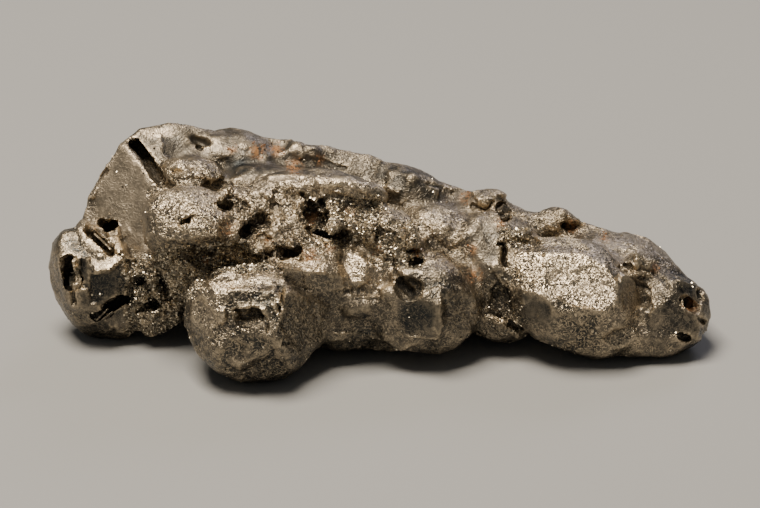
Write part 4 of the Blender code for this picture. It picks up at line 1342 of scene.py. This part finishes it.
@dataclass
class Nugget:
    """The nugget: crystals fused into one skin, hollowed out, and carved with what is finer than they are.

    Lengths are in mm. Swells, dimples, the broken rims of the hollows, and pits are each (depth, spacing),
    and carved is how far in and out the strokes may move the skin. Breaking is how far smooth skin breaks
    into faces and how much further rough skin does, and the borders between the faces are ragged. Pits grow
    where the skin is rougher than pitted_from. A pit's radius is a share of the spacing, and its floor says
    how far it is cut flat. Broad and close say how widely the skin is averaged to find its large hollows and
    its creases, and a large hollow, a crease and an edge count in full at the depths given for them. No
    grains are sown below the bare foot.
    """

    length: float = 38.0
    grid: float = 0.115
    cutter_grid: float = 0.13
    worn: float = 0.34
    grown: float = 0.3
    swells: Pair = (0.36, 2.6)
    dimples: Pair = (0.12, 0.9)
    broken: Pair = (0.35, 0.5)
    rubble_forms: int = 6
    form_chips: int = 14
    carved: Pair = (-1.2, 0.3)
    coarse: Breakage = Breakage(1.1, lean=0.12, evened=15, seed=5, span=(-0.2, 0.15))
    fine: Breakage = Breakage(0.42, lean=0.20, evened=7, seed=9, span=(-0.25, 0.1))
    breaking: Pair = (0.06, 0.5)
    ragged: float = 0.02
    point_area: float = 0.65
    pits: Pair = (0.16, 0.9)
    pitted_from: float = 0.3
    pit_floor: float = 1.25
    pit_radius: float = 0.22
    broad: int = 160
    close: int = 6
    cavity_depth: float = 0.7
    crease_depth: float = 0.07
    edge_height: float = 0.045
    under_grains: float = 0.7
    painted_top_light: PaintedTopLight = PaintedTopLight()
    stain_evened: int = 2
    plate_pale: float = 0.45
    plate_wear: float = 0.4
    triangles: int = 196000
    bare_foot: float = 0.3
    stray_grains: float = 0.002
    smooth_to: float = 28
    camera: PhotoCamera = field(default_factory=PhotoCamera)

    def model_crystals(self) -> bpy.types.Object:
        """Model all crystals and fuse them into one skin."""
        pieces = [from_corners("slab_end", list(SLAB_END))]
        sections = [[(x, y + across * z, up * z) for across, up in SECTION] for x, y, z in SPINE]
        for here, after in pairwise(sections):
            pieces.append(from_corners("slab", here + after))
        for name, crystal in CRYSTALS.items():
            pieces.append(crystal.model(name, name))
        form = Crystal((0, 0, 0), (1, 1, 1), chips=self.form_chips)
        forms = [form.model("chipped_form", seed) for seed in range(self.rubble_forms)]
        for name, rubble in RUBBLE.items():
            pieces.extend(rubble.scatter(forms, name))
        for spare in forms:
            bpy.data.objects.remove(spare)
        nugget = joined("nugget_skin", pieces)
        fuse(nugget, self.grid)
        grow_together(nugget, self.grown, self.grid)
        return nugget

    def model_hollows(self) -> bpy.types.Object:
        """Model all hollows as one cutter with broken rims."""
        cutter = joined("hollows", [pit.model(name) for name, pit in PITS.items()])
        fuse(cutter, self.cutter_grid)
        roughen(cutter, "broken_rims", *self.broken)
        fuse(cutter, self.cutter_grid)
        return cutter

    def hollow_out(self, nugget: bpy.types.Object) -> None:
        """Cut the hollows out of the skin, and make it uneven.

        Args:
            nugget: The fused crystals.
        """
        cutter = self.model_hollows()
        finish_with(nugget, "BOOLEAN", operation="DIFFERENCE", object=cutter)
        bpy.data.objects.remove(cutter)
        fuse(nugget, self.grid)
        drop_crumbs(nugget)
        roughen(nugget, "swells", *self.swells)
        roughen(nugget, "dimples", *self.dimples)

    def carve(self, skin: Skin) -> None:
        """Press the faces into the skin, and carve its lines and pits.

        Args:
            skin: The nugget's skin.
        """
        for area, facet in FACETS.items():
            skin.flatten(AREAS[area], facet)
        pixel = self.camera.pixel
        outward = sum(stroke.rise(skin.pixels, pixel) for stroke in STROKES.values()) * skin.seen
        skin.push(np.clip(outward, *self.carved))

    def weather(self, skin: Skin) -> Array:
        """Break the skin into small faces, chip it and pit it, most of all where it is rough.

        Args:
            skin: The nugget's skin.

        Returns:
            How rough each point is, from zero to one.
        """
        rough = skin.spread(ROUGHNESS, ROUGH_ELSEWHERE)
        smooth, further = self.breaking
        broken = smooth + further * rough
        skin.push(np.clip(self.faces(skin, self.coarse) * broken, *self.coarse.span))
        outward = self.faces(skin, self.fine) * broken
        depth, spacing = self.pits
        outward -= self.pitting(skin, spacing) * depth * np.clip(rough - self.pitted_from, 0, 1)
        skin.push(np.clip(outward, *self.fine.span))
        return rough

    def faces(self, skin: Skin, breakage: Breakage) -> Array:
        """Break the skin into small flat faces, each around a random point of it.

        Args:
            skin: The nugget's skin.
            breakage: The size of the faces, how far they lean, and what the points are drawn from.

        Returns:
            How far each point moves outward to lie in its face, in mm.
        """
        rng = np.random.default_rng(breakage.seed)
        area = self.point_area * self.grid**2 * len(skin.points)
        chosen = rng.choice(len(skin.points), int(area / breakage.size**2), replace=False)
        tree = KDTree(len(chosen))
        for index, point in enumerate(skin.points[chosen]):
            tree.insert(point, index)
        tree.balance()
        smooth = skin.blur(skin.normals, breakage.evened)
        leans = smooth[chosen] + rng.normal(size=(len(chosen), 3)) * breakage.lean
        leans /= np.linalg.norm(leans, axis=1)[:, None]
        wobble = skin.points + rng.normal(size=skin.points.shape) * self.ragged
        nearest = np.fromiter((tree.find(point)[1] for point in wobble), dtype=int, count=len(wobble))
        rises = -((skin.points - skin.points[chosen][nearest]) * leans[nearest]).sum(axis=1)
        return skin.blur(rises, 1)

    def pitting(self, skin: Skin, size: float) -> Array:
        """Find the small pits that the metal grew with.

        Args:
            skin: The nugget's skin.
            size: Distance between the pits in mm.

        Returns:
            Zero on the open skin and up to one in the middle of a pit.
        """
        near = np.fromiter(
            (noise.voronoi(point / size)[0][0] for point in map(Vector, skin.points)),
            dtype=float, count=len(skin.points),
        )
        return np.clip(self.pit_floor - near / self.pit_radius, 0, 1)

    def simplify(self, nugget: bpy.types.Object) -> None:
        """Drop the faces that the relief doesn't need.

        Args:
            nugget: The nugget.
        """
        nugget.data.calc_loop_triangles()
        finish_with(nugget, "DECIMATE", ratio=min(1.0, self.triangles / len(nugget.data.loop_triangles)))

    def settle(self, skin: Skin) -> tuple[Vector, float]:
        """Wear the lowest lumps flat, and find where the nugget goes in the finished frame.

        Args:
            skin: The nugget's skin.

        Returns:
            The middle of its underside in mm, and how much it is enlarged.
        """
        plane = skin.points[:, 2].min() + self.worn
        skin.points[:, 2] = np.maximum(skin.points[:, 2], plane)
        skin.write()
        low, high = skin.points.min(axis=0), skin.points.max(axis=0)
        middle = Vector(((low[0] + high[0]) / 2, (low[1] + high[1]) / 2, plane))
        return middle, self.length / (high[0] - low[0])

    def paint(self, piece: bpy.types.Object, skin: Skin, values: dict[str, Array]) -> None:
        """Store values for the finish on a piece's points.

        Args:
            piece: The finished piece, still in the drawing's place.
            skin: The finer skin that the values belong to.
            values: A value for each of the finer skin's points, by name.
        """
        tree = KDTree(len(skin.points))
        for index, point in enumerate(skin.points):
            tree.insert(point, index)
        tree.balance()
        nearest = [tree.find(vertex.co / MM)[1] for vertex in piece.data.vertices]
        for name, column in values.items():
            layer = piece.data.attributes.new(name, "FLOAT", "POINT")
            layer.data.foreach_set("value", column[nearest].astype(np.float32))

    def build(self) -> Made:
        """Build the nugget in the drawing's place."""
        nugget = self.model_crystals()
        log.info("crystals fused: %d points", len(nugget.data.vertices))
        self.hollow_out(nugget)
        log.info("hollowed out: %d points", len(nugget.data.vertices))
        skin = Skin(nugget, self.camera)
        log.info("skin read: %d points seen", int(skin.seen.sum()))
        plates = joined("slot_plates", [plate.model(name, skin) for name, plate in PLATES.items()])
        self.carve(skin)
        log.info("faces and lines carved")
        broad = skin.hollowness(self.broad)
        rough = self.weather(skin)
        log.info("weathered")
        fine = skin.hollowness(self.close)
        middle, scale = self.settle(skin)
        open_skin = 1 - self.under_grains * skin.spread(GRAINY, 0)
        # Cavity and crease darken the colour in the material, as dirt and painted shade
        values = {
            "cavity": np.clip(broad / self.cavity_depth, 0, 1) * open_skin,
            "crease": np.clip(fine / self.crease_depth, 0, 1),
            "wear": np.clip(-fine / self.edge_height, 0, 1),
            "rough": rough,
            # Pale is painted light and shade by area, times painted top light that pales the upward faces
            "pale": skin.spread(PALENESS, PALE_ELSEWHERE) * self.painted_top_light.weigh(skin),
            "glint": skin.spread(GLINTS, GLINT_ELSEWHERE),
            "stain": skin.blur(skin.spots(STAINS), self.stain_evened),
        }
        self.simplify(nugget)
        self.paint(nugget, skin, values)
        # The plates stand in slots: their paleness and wear are turned down, as painted shade
        shaded = {"pale": values["pale"] * self.plate_pale, "wear": values["wear"] * self.plate_wear}
        self.paint(plates, skin, values | shaded)
        log.info("nugget: %d points", len(nugget.data.vertices))
        return Made(nugget, plates, skin, values, middle, scale)


# The grains


@dataclass(frozen=True)
class Grains:
    """Many small crystals of a few forms, sunk into the skin and joined in one piece. Lengths are in mm."""

    name: str
    count: int
    size: Pair
    seed: int
    sunk: float = 0.35
    forms: int = 5
    side: float = 1.4
    cuts: int = 3
    reach: float = 0.78
    stretch: Pair = (0.7, 1.3)

    def model_forms(self) -> list[tuple[Array, Array]]:
        """Model the forms, as corners and triangles: cubes with a few chips, about one mm in radius."""
        rng = random.Random(self.seed)
        forms = []
        for _ in range(self.forms):
            bpy.ops.object.select_all(action="DESELECT")
            bpy.ops.mesh.primitive_cube_add(size=self.side)
            cube = bpy.context.object
            bpy.ops.object.mode_set(mode="EDIT")
            for _ in range(self.cuts):
                out = facing(rng.uniform(-180, 180), rng.uniform(-80, 80))
                slice_off(out * self.reach, out)
            bpy.ops.mesh.select_all(action="SELECT")
            bpy.ops.mesh.quads_convert_to_tris()
            bpy.ops.object.mode_set(mode="OBJECT")
            corners = np.array([vertex.co for vertex in cube.data.vertices])
            faces = np.array([polygon.vertices for polygon in cube.data.polygons])
            forms.append((corners, faces))
            bpy.data.objects.remove(cube)
        return forms

    def build(self, skin: Skin, chance: Array) -> bpy.types.Object:
        """Sow the grains over the skin. Arrays join them, as thousands of objects would take minutes.

        Args:
            skin: The nugget's skin.
            chance: How likely each of its points is to carry a grain.

        Returns:
            The grains as one piece, in the drawing's place.
        """
        rng = np.random.default_rng(self.seed)
        chosen = rng.choice(len(skin.points), self.count, replace=False, p=chance / chance.sum())
        forms = self.model_forms()
        corners, faces, start = [], [], 0
        for number, index in enumerate(chosen):
            form_corners, form_faces = forms[number % len(forms)]
            size = rng.uniform(*self.size) * rng.uniform(*self.stretch, 3)
            turn = np.linalg.qr(rng.normal(size=(3, 3)))[0]
            turn[:, 0] *= np.sign(np.linalg.det(turn))
            middle = skin.points[index] - skin.normals[index] * size.mean() * self.sunk
            corners.append((form_corners * size) @ turn.T + middle)
            faces.append(form_faces + start)
            start += len(form_corners)
        mesh = bpy.data.meshes.new(self.name)
        mesh.from_pydata(np.concatenate(corners) * MM, [], np.concatenate(faces).tolist())
        piece = bpy.data.objects.new(self.name, mesh)
        bpy.context.scene.collection.objects.link(piece)
        return piece


CRUST = Grains("grainy_crust", 8000, (0.035, 0.08), 3)
SPECKS = Grains("rust_specks", 260, (0.03, 0.07), 8, sunk=0.1)


# The finishes


Tree = bpy.types.NodeTree
Socket = bpy.types.NodeSocket
Input = Socket | float | tuple[float, ...]

# Places of the colour sockets in a Mix node, where every kind of value has sockets of the same names
SHARE, UNDER, OVER, MIXED = 0, 6, 7, 2


def node(
    tree: Tree, kind: str, inputs: dict[int | str, Input], out: int | str = 0, **settings: object
) -> Socket:
    """Add a node with its settings and links.

    Args:
        tree: The tree that it goes into.
        kind: Blender's name for the node's type, without the words that each such name starts with.
        inputs: A socket to link, or a value, for each input by name or place.
        out: The output to hand back.
        settings: The node's own settings.

    Returns:
        The output.
    """
    added = tree.nodes.new("ShaderNode" + kind)
    for name, value in settings.items():
        setattr(added, name, value)
    feed(tree, added, inputs)
    return added.outputs[out]


def feed(tree: Tree, target: bpy.types.Node, inputs: dict[int | str, Input]) -> None:
    """Link sockets to a node's inputs, or set them.

    Args:
        tree: The node's tree.
        target: The node.
        inputs: A socket to link, or a value, for each input by name or place.
    """
    for name, value in inputs.items():
        if isinstance(value, Socket):
            tree.links.new(value, target.inputs[name])
        else:
            target.inputs[name].default_value = value


def new_material(name: str) -> bpy.types.Material:
    """Start a material that has only its shader."""
    material = bpy.data.materials.new(name)
    material.use_nodes = True
    return material


def per_metre(size: float) -> float:
    """Turn the size of a pattern in mm to the scale of a texture."""
    return 1000 / size


@dataclass(frozen=True)
class TarnishedAcanthite:
    """Silver sulphide as it grew, tarnished and handled.

    It is a soft dark metal in tiny crystals: it glints in flakes, is dull with dirt in its hollows, and is
    worn pale along its edges. Its colour holds painted light and shade too: the hollows and creases are
    darkened toward its darkest colour, as dirt and painted shade; some flakes are painted darker, as painted
    shade, and a few paler, as painted glints; the crests of its folds and scratches are painted pale, as
    painted highlights; and the paleness laid on it by area holds painted highlights and painted shade. The
    colours come first, and then the sizes of its patterns in mm. The other fields are amounts: two of them
    are the least and the most.
    """

    # The darkest colour is dirt and painted shade, and the brightest is both worn edges and painted glints
    dirt_and_shade: str = "#1b1b18"
    dark: str = "#373939"
    pale: str = "#beaf98"
    rubbed_and_glint: str = "#f4dfbc"
    rust: str = "#a87a4c"

    flake: float = 0.065
    speck: float = 0.15
    crumple: float = 0.27
    grit: float = 0.28
    fleck: float = 0.35
    gap: float = 0.5
    cloud: float = 0.8
    sweep: float = 1.5
    blotch: float = 3.2
    relief: float = 0.035

    # How strongly the hollows and the creases darken the colour, as dirt and painted shade, and dim the metal
    cavity_dirt_and_shade: float = 0.6
    crease_dirt_and_shade: float = 0.25
    scratched: float = 0.7
    scratch_lines: float = 24.0
    clean_metal: float = 0.95
    dirty_metal: float = 0.4
    dullness: Pair = (0.36, 0.52)
    glint_gloss: float = -0.14
    dirt_dullness: float = 0.3
    blotches: Pair = (-0.1, 0.2)
    paleness: float = 0.9
    specks: float = 0.2
    # Flakes painted darker, as painted shade, and how much of that stays where the skin is dark
    flake_shade: float = 0.5
    flake_shade_on_dark: float = 0.3
    worn: Pair = (0.2, 0.6)
    # Painted highlights on the crests of folds and scratches, painted glints on a few flakes, and how much of
    # them shows where the skin is dark
    crest_light: float = 1.4
    flake_light: float = 1.2
    light_on_dark: float = 0.45
    flake_lean: Pair = (0.06, 0.48)
    grit_depth: float = -1.2
    bump: Pair = (0.2, 0.85)

    def material(self) -> bpy.types.Material:
        """Make the material."""
        material = new_material("tarnished_acanthite")
        tree = material.node_tree
        place = node(tree, "TexCoord", {}, "Object")
        painted = {name: node(tree, "Attribute", {}, "Fac", attribute_name=name) for name in PAINTED}
        low = self.lowness(tree, painted)
        rust = self.rustiness(tree, place, painted)
        lines = {0: self.scratches(tree, place), 1: self.scratched, 2: self.folds(tree, place)}
        folds = node(tree, "Math", lines, operation="MULTIPLY_ADD")
        flakes = node(tree, "TexVoronoi", {"Vector": place, "Scale": per_metre(self.flake)}, "Color")
        cleaner = {"Value": low, "From Min": 0.2, "To Min": self.clean_metal, "To Max": self.dirty_metal}
        metal = node(tree, "MapRange", cleaner)
        looks = {
            "Base Color": self.tone(tree, place, painted, low, rust, folds, flakes),
            "Metallic": node(tree, "Math", {0: metal, 1: rust}, operation="SUBTRACT", use_clamp=True),
            "Roughness": self.dulled(tree, place, painted, low),
            "Normal": self.normal(tree, place, painted, folds, flakes),
        }
        feed(tree, tree.nodes["Principled BSDF"], looks)
        return material

    def lowness(self, tree: Tree, painted: dict[str, Socket]) -> Socket:
        """Find how deep in a hollow or crease a point is, from zero to one; the colour darkens there as dirt
        and painted shade.
        """
        cavity = node(tree, "Math", {0: painted["cavity"], 1: self.cavity_dirt_and_shade}, operation="MULTIPLY")
        both = {0: painted["crease"], 1: self.crease_dirt_and_shade, 2: cavity}
        return node(tree, "Math", both, operation="MULTIPLY_ADD", use_clamp=True)

    def rustiness(self, tree: Tree, place: Socket, painted: dict[str, Socket]) -> Socket:
        """Break the stains up into flecks about a third of a mm wide."""
        fleck = node(tree, "TexNoise", {"Vector": place, "Scale": per_metre(self.fleck), "Detail": 3.0})
        share = node(tree, "MapRange", {"Value": fleck, "From Min": 0.42, "From Max": 0.58})
        return node(tree, "Math", {0: painted["stain"], 1: share}, operation="MULTIPLY", use_clamp=True)

    def folds(self, tree: Tree, place: Socket) -> Socket:
        """Draw the fine sharp folds of the crumpled skin: about one, and one and a half on their crests."""
        folds = {"Vector": place, "Scale": per_metre(self.crumple), "Detail": 3.0, "Offset": 1.0}
        folds["Distortion"] = 0.8
        return node(tree, "TexNoise", folds, noise_type="RIDGED_MULTIFRACTAL")

    def scratches(self, tree: Tree, place: Socket) -> Socket:
        """Draw curved hairlines that follow each other: contour lines of a soft noise, here and there."""
        sweeps = {"Vector": place, "Scale": per_metre(self.sweep), "Detail": 1.0, "Distortion": 1.2}
        height = node(tree, "TexNoise", sweeps)
        height = node(tree, "Math", {0: height, 1: self.scratch_lines}, operation="MULTIPLY")
        line = node(tree, "Math", {0: height, 1: 0.5}, operation="PINGPONG")
        line = node(tree, "MapRange", {"Value": line, "From Min": 0.38, "From Max": 0.48})
        broken = node(tree, "TexNoise", {"Vector": place, "Scale": per_metre(self.gap), "Detail": 2.0})
        broken = node(tree, "MapRange", {"Value": broken, "From Min": 0.4, "From Max": 0.56})
        return node(tree, "Math", {0: line, 1: broken}, operation="MULTIPLY")

    def dulled(self, tree: Tree, place: Socket, painted: dict[str, Socket], low: Socket) -> Socket:
        """Find how dull the skin is: uneven, glossier where it glints, and duller where dirt lies."""
        clouds = node(tree, "TexNoise", {"Vector": place, "Scale": per_metre(self.cloud), "Detail": 4.0})
        least, most = self.dullness
        span = {"Value": clouds, "From Min": 0.3, "From Max": 0.7, "To Min": least, "To Max": most}
        clean = {0: painted["glint"], 1: self.glint_gloss, 2: node(tree, "MapRange", span)}
        clean = node(tree, "Math", clean, operation="MULTIPLY_ADD")
        dirty = {0: low, 1: self.dirt_dullness, 2: clean}
        return node(tree, "Math", dirty, operation="MULTIPLY_ADD", use_clamp=True)

    def tone(
        self, tree: Tree, place: Socket, painted: dict[str, Socket], low: Socket, rust: Socket,
        folds: Socket, flakes: Socket,
    ) -> Socket:
        """Lay the colours over each other, painted light and shade among them.

        Args:
            tree: The material's nodes.
            place: Where a point is.
            painted: The values painted on the skin.
            low: How deep it lies.
            rust: How rusty it is.
            folds: How high it is on the folds.
            flakes: Three random values for each flake.

        Returns:
            The colour.
        """
        glint = painted["glint"]
        chance = node(tree, "SeparateXYZ", {0: flakes}, "X")
        least, most = self.blotches
        broad = node(tree, "TexNoise", {"Vector": place, "Scale": per_metre(self.blotch), "Detail": 4.0})
        span = {"Value": broad, "From Min": 0.35, "From Max": 0.65, "To Min": least, "To Max": most}
        broad = node(tree, "MapRange", span, clamp=False)
        paler = {0: painted["pale"], 1: self.paleness, 2: broad}
        pale = node(tree, "Math", paler, operation="MULTIPLY_ADD", use_clamp=True)
        fine = node(tree, "TexNoise", {"Vector": place, "Scale": per_metre(self.speck), "Detail": 3.0})
        span = {"Value": fine, "From Min": 0.4, "From Max": 0.6, "To Min": self.specks, "To Max": 0.0}
        specks = node(tree, "MapRange", span)
        # Some flakes are painted darker, as painted shade
        span = {"Value": chance, "From Max": 0.6, "To Min": self.flake_shade, "To Max": 0.0}
        shaded_flakes = node(tree, "MapRange", span)
        least, most = self.worn
        span = {"Value": fine, "From Min": 0.3, "From Max": 0.6, "To Min": least, "To Max": most}
        bright = node(tree, "MapRange", span)
        worn = node(tree, "Math", {0: painted["wear"], 1: bright}, operation="MULTIPLY", use_clamp=True)
        # Painted highlights along the crests of folds and scratches, and painted glints on a few flakes
        crest = {"Value": folds, "From Min": 1.15, "From Max": 1.5, "To Max": self.crest_light}
        flash = {"Value": chance, "From Min": 0.84, "From Max": 0.96, "To Max": self.flake_light}
        lit = {socket: node(tree, "MapRange", span) for socket, span in enumerate((crest, flash))}
        light = node(tree, "Math", lit, operation="MAXIMUM")
        on_dark = node(tree, "MapRange", {"Value": pale, "To Min": self.flake_shade_on_dark})
        light_on_dark = node(tree, "MapRange", {"Value": pale, "To Min": self.light_on_dark})
        for factor in (glint, on_dark):
            shaded_flakes = node(tree, "Math", {0: shaded_flakes, 1: factor}, operation="MULTIPLY")
        for factor in (light_on_dark, glint):
            light = node(tree, "Math", {0: light, 1: factor}, operation="MULTIPLY")
        # Worn edges and the painted highlights pale the colour toward one bright tone
        rubbed_and_glint = node(tree, "Math", {0: worn, 1: light}, operation="MAXIMUM")
        tone = linear(self.dark)
        coats = (
            (pale, self.pale), (specks, self.dark), (shaded_flakes, self.dark), (rubbed_and_glint, self.rubbed_and_glint),
            (low, self.dirt_and_shade), (rust, self.rust),
        )
        for share, colour in coats:
            mixed = {SHARE: share, UNDER: tone, OVER: linear(colour)}
            tone = node(tree, "Mix", mixed, MIXED, data_type="RGBA")
        return tone

    def normal(
        self, tree: Tree, place: Socket, painted: dict[str, Socket], folds: Socket, flakes: Socket
    ) -> Socket:
        """Tilt the skin by flake, fold it, and make it gritty where it is rough.

        The real flakes and folds are finer, and are drawn one or two pixels wide so that they show.

        Args:
            tree: The material's nodes.
            place: Where a point is.
            painted: The values painted on the skin.
            folds: How high it is on the folds.
            flakes: Three random values for each flake.

        Returns:
            The normal.
        """
        straight = node(tree, "NewGeometry", {}, "Normal")
        least, most = self.flake_lean
        lean = node(tree, "MapRange", {"Value": painted["glint"], "To Min": least, "To Max": most})
        tilt = node(tree, "VectorMath", {0: flakes, 1: (0.5, 0.5, 0.5)}, operation="SUBTRACT")
        tilt = node(tree, "VectorMath", {0: tilt, "Scale": lean}, operation="SCALE")
        leaning = node(tree, "VectorMath", {0: straight, 1: tilt}, operation="ADD")
        leaning = node(tree, "VectorMath", {0: leaning}, operation="NORMALIZE")
        grit = node(tree, "TexVoronoi", {"Vector": place, "Scale": per_metre(self.grit)}, "Distance")
        grit = node(tree, "Math", {0: grit, 1: painted["rough"]}, operation="MULTIPLY")
        height = node(tree, "Math", {0: grit, 1: self.grit_depth, 2: folds}, operation="MULTIPLY_ADD")
        least, most = self.bump
        span = {"Value": painted["rough"], "From Max": 0.6, "To Min": least, "To Max": most}
        strength = node(tree, "MapRange", span)
        relief = {"Height": height, "Strength": strength, "Distance": self.relief * MM, "Normal": leaning}
        return node(tree, "Bump", relief)


@dataclass(frozen=True)
class GrainFinish:
    """A finish for grains, each of one colour between two. The larger the skew, the fewer are bright."""

    name: str
    dark: str
    bright: str
    metallic: float
    roughness: float
    skew: float = 1.0

    def material(self) -> bpy.types.Material:
        """Make the material."""
        material = new_material(self.name)
        tree = material.node_tree
        share = node(tree, "NewGeometry", {}, "Random Per Island")
        share = node(tree, "Math", {0: share, 1: self.skew}, operation="POWER")
        mixed = {SHARE: share, UNDER: linear(self.dark), OVER: linear(self.bright)}
        tone = node(tree, "Mix", mixed, MIXED, data_type="RGBA")
        looks = {"Base Color": tone, "Metallic": self.metallic, "Roughness": self.roughness}
        feed(tree, tree.nodes["Principled BSDF"], looks)
        return material


# Fresh small crystals in the hollows: each one is given a colour at random between dark and bright, so the
# bright ones are painted glints that show even in shade
SPARKLING = GrainFinish("sparkling_acanthite_grains", "#4c463b", "#efe2c8", 0.9, 0.3, skew=1.2)
# Specks of rust in the pits: iron oxide, which is dull, orange-brown and dusty
RUSTY = GrainFinish("iron_rust", "#5f432c", "#a87a52", 0.0, 0.8)


@dataclass(frozen=True)
class PaleBoard:
    """The floor: matt painted board, pale and even."""

    tone: str = "#a6a6a4"
    roughness: float = 0.9

    def material(self) -> bpy.types.Material:
        """Make the material."""
        material = new_material("matt_painted_board")
        looks = {"Base Color": linear(self.tone), "Roughness": self.roughness}
        feed(material.node_tree, material.node_tree.nodes["Principled BSDF"], looks)
        return material


# The studio


@dataclass(frozen=True)
class Lamp:
    """A soft square light that looks at the nugget. Lengths are in metres, and its power is in watts."""

    place: Triple
    size: float
    power: float
    tone: str
    aim: Triple = (0, 0, 0.005)

    def add(self, name: str) -> None:
        """Add the light under a name."""
        bpy.ops.object.light_add(type="AREA", location=self.place)
        lamp = bpy.context.object
        lamp.name = name
        lamp.data.size = self.size
        lamp.data.energy = self.power
        lamp.data.color = linear(self.tone)[:3]
        lamp.rotation_euler = (Vector(self.aim) - Vector(self.place)).to_track_quat("-Z", "Y").to_euler()


@dataclass(frozen=True)
class Studio:
    """A pale floor under soft lights. Lengths are in metres."""

    floor_size: float = 1.2
    key: Lamp = Lamp((-0.07, -0.03, 0.32), 0.15, 1.75, "#fff3e2")
    rim: Lamp = Lamp((0.12, 0.26, 0.20), 0.12, 0.2, "#f4f0ff")
    sky_tone: str = "#c4c7ca"
    sky: float = 0.17

    def build(self) -> None:
        """Lay the floor, and light it."""
        bpy.ops.mesh.primitive_plane_add(size=self.floor_size, location=(0, 0, 0))
        floor = bpy.context.object
        floor.name = "floor"
        floor.data.materials.append(PaleBoard().material())
        self.key.add("key")
        self.rim.add("rim")
        world = bpy.data.worlds.new("studio")
        bpy.context.scene.world = world
        world.use_nodes = True
        sky = world.node_tree.nodes["Background"]
        sky.inputs["Color"].default_value = linear(self.sky_tone)
        sky.inputs["Strength"].default_value = self.sky


def main() -> None:
    """Build the specimen and its studio."""
    logging.basicConfig(level=logging.INFO, format="%(message)s")
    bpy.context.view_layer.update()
    form = Nugget()
    made = form.build()
    off_floor = made.skin.above(form.bare_foot)
    crust = CRUST.build(made.skin, made.skin.spread(GRAINY, form.stray_grains) * off_floor)
    specks = SPECKS.build(made.skin, made.values["stain"] * off_floor + 1e-9)
    metal = TarnishedAcanthite().material()
    finishes = {
        made.nugget: metal, made.plates: metal, crust: SPARKLING.material(), specks: RUSTY.material(),
    }
    for piece, finish in finishes.items():
        made.dress(piece, finish)
        log.info("%s: %d faces, finished as %s", piece.name, len(piece.data.polygons), finish.name)
    pick(made.nugget)
    bpy.ops.object.shade_smooth_by_angle(angle=radians(form.smooth_to))
    form.camera.place(made.middle, made.scale)
    Studio().build()


if __name__ == "__main__":
    main()
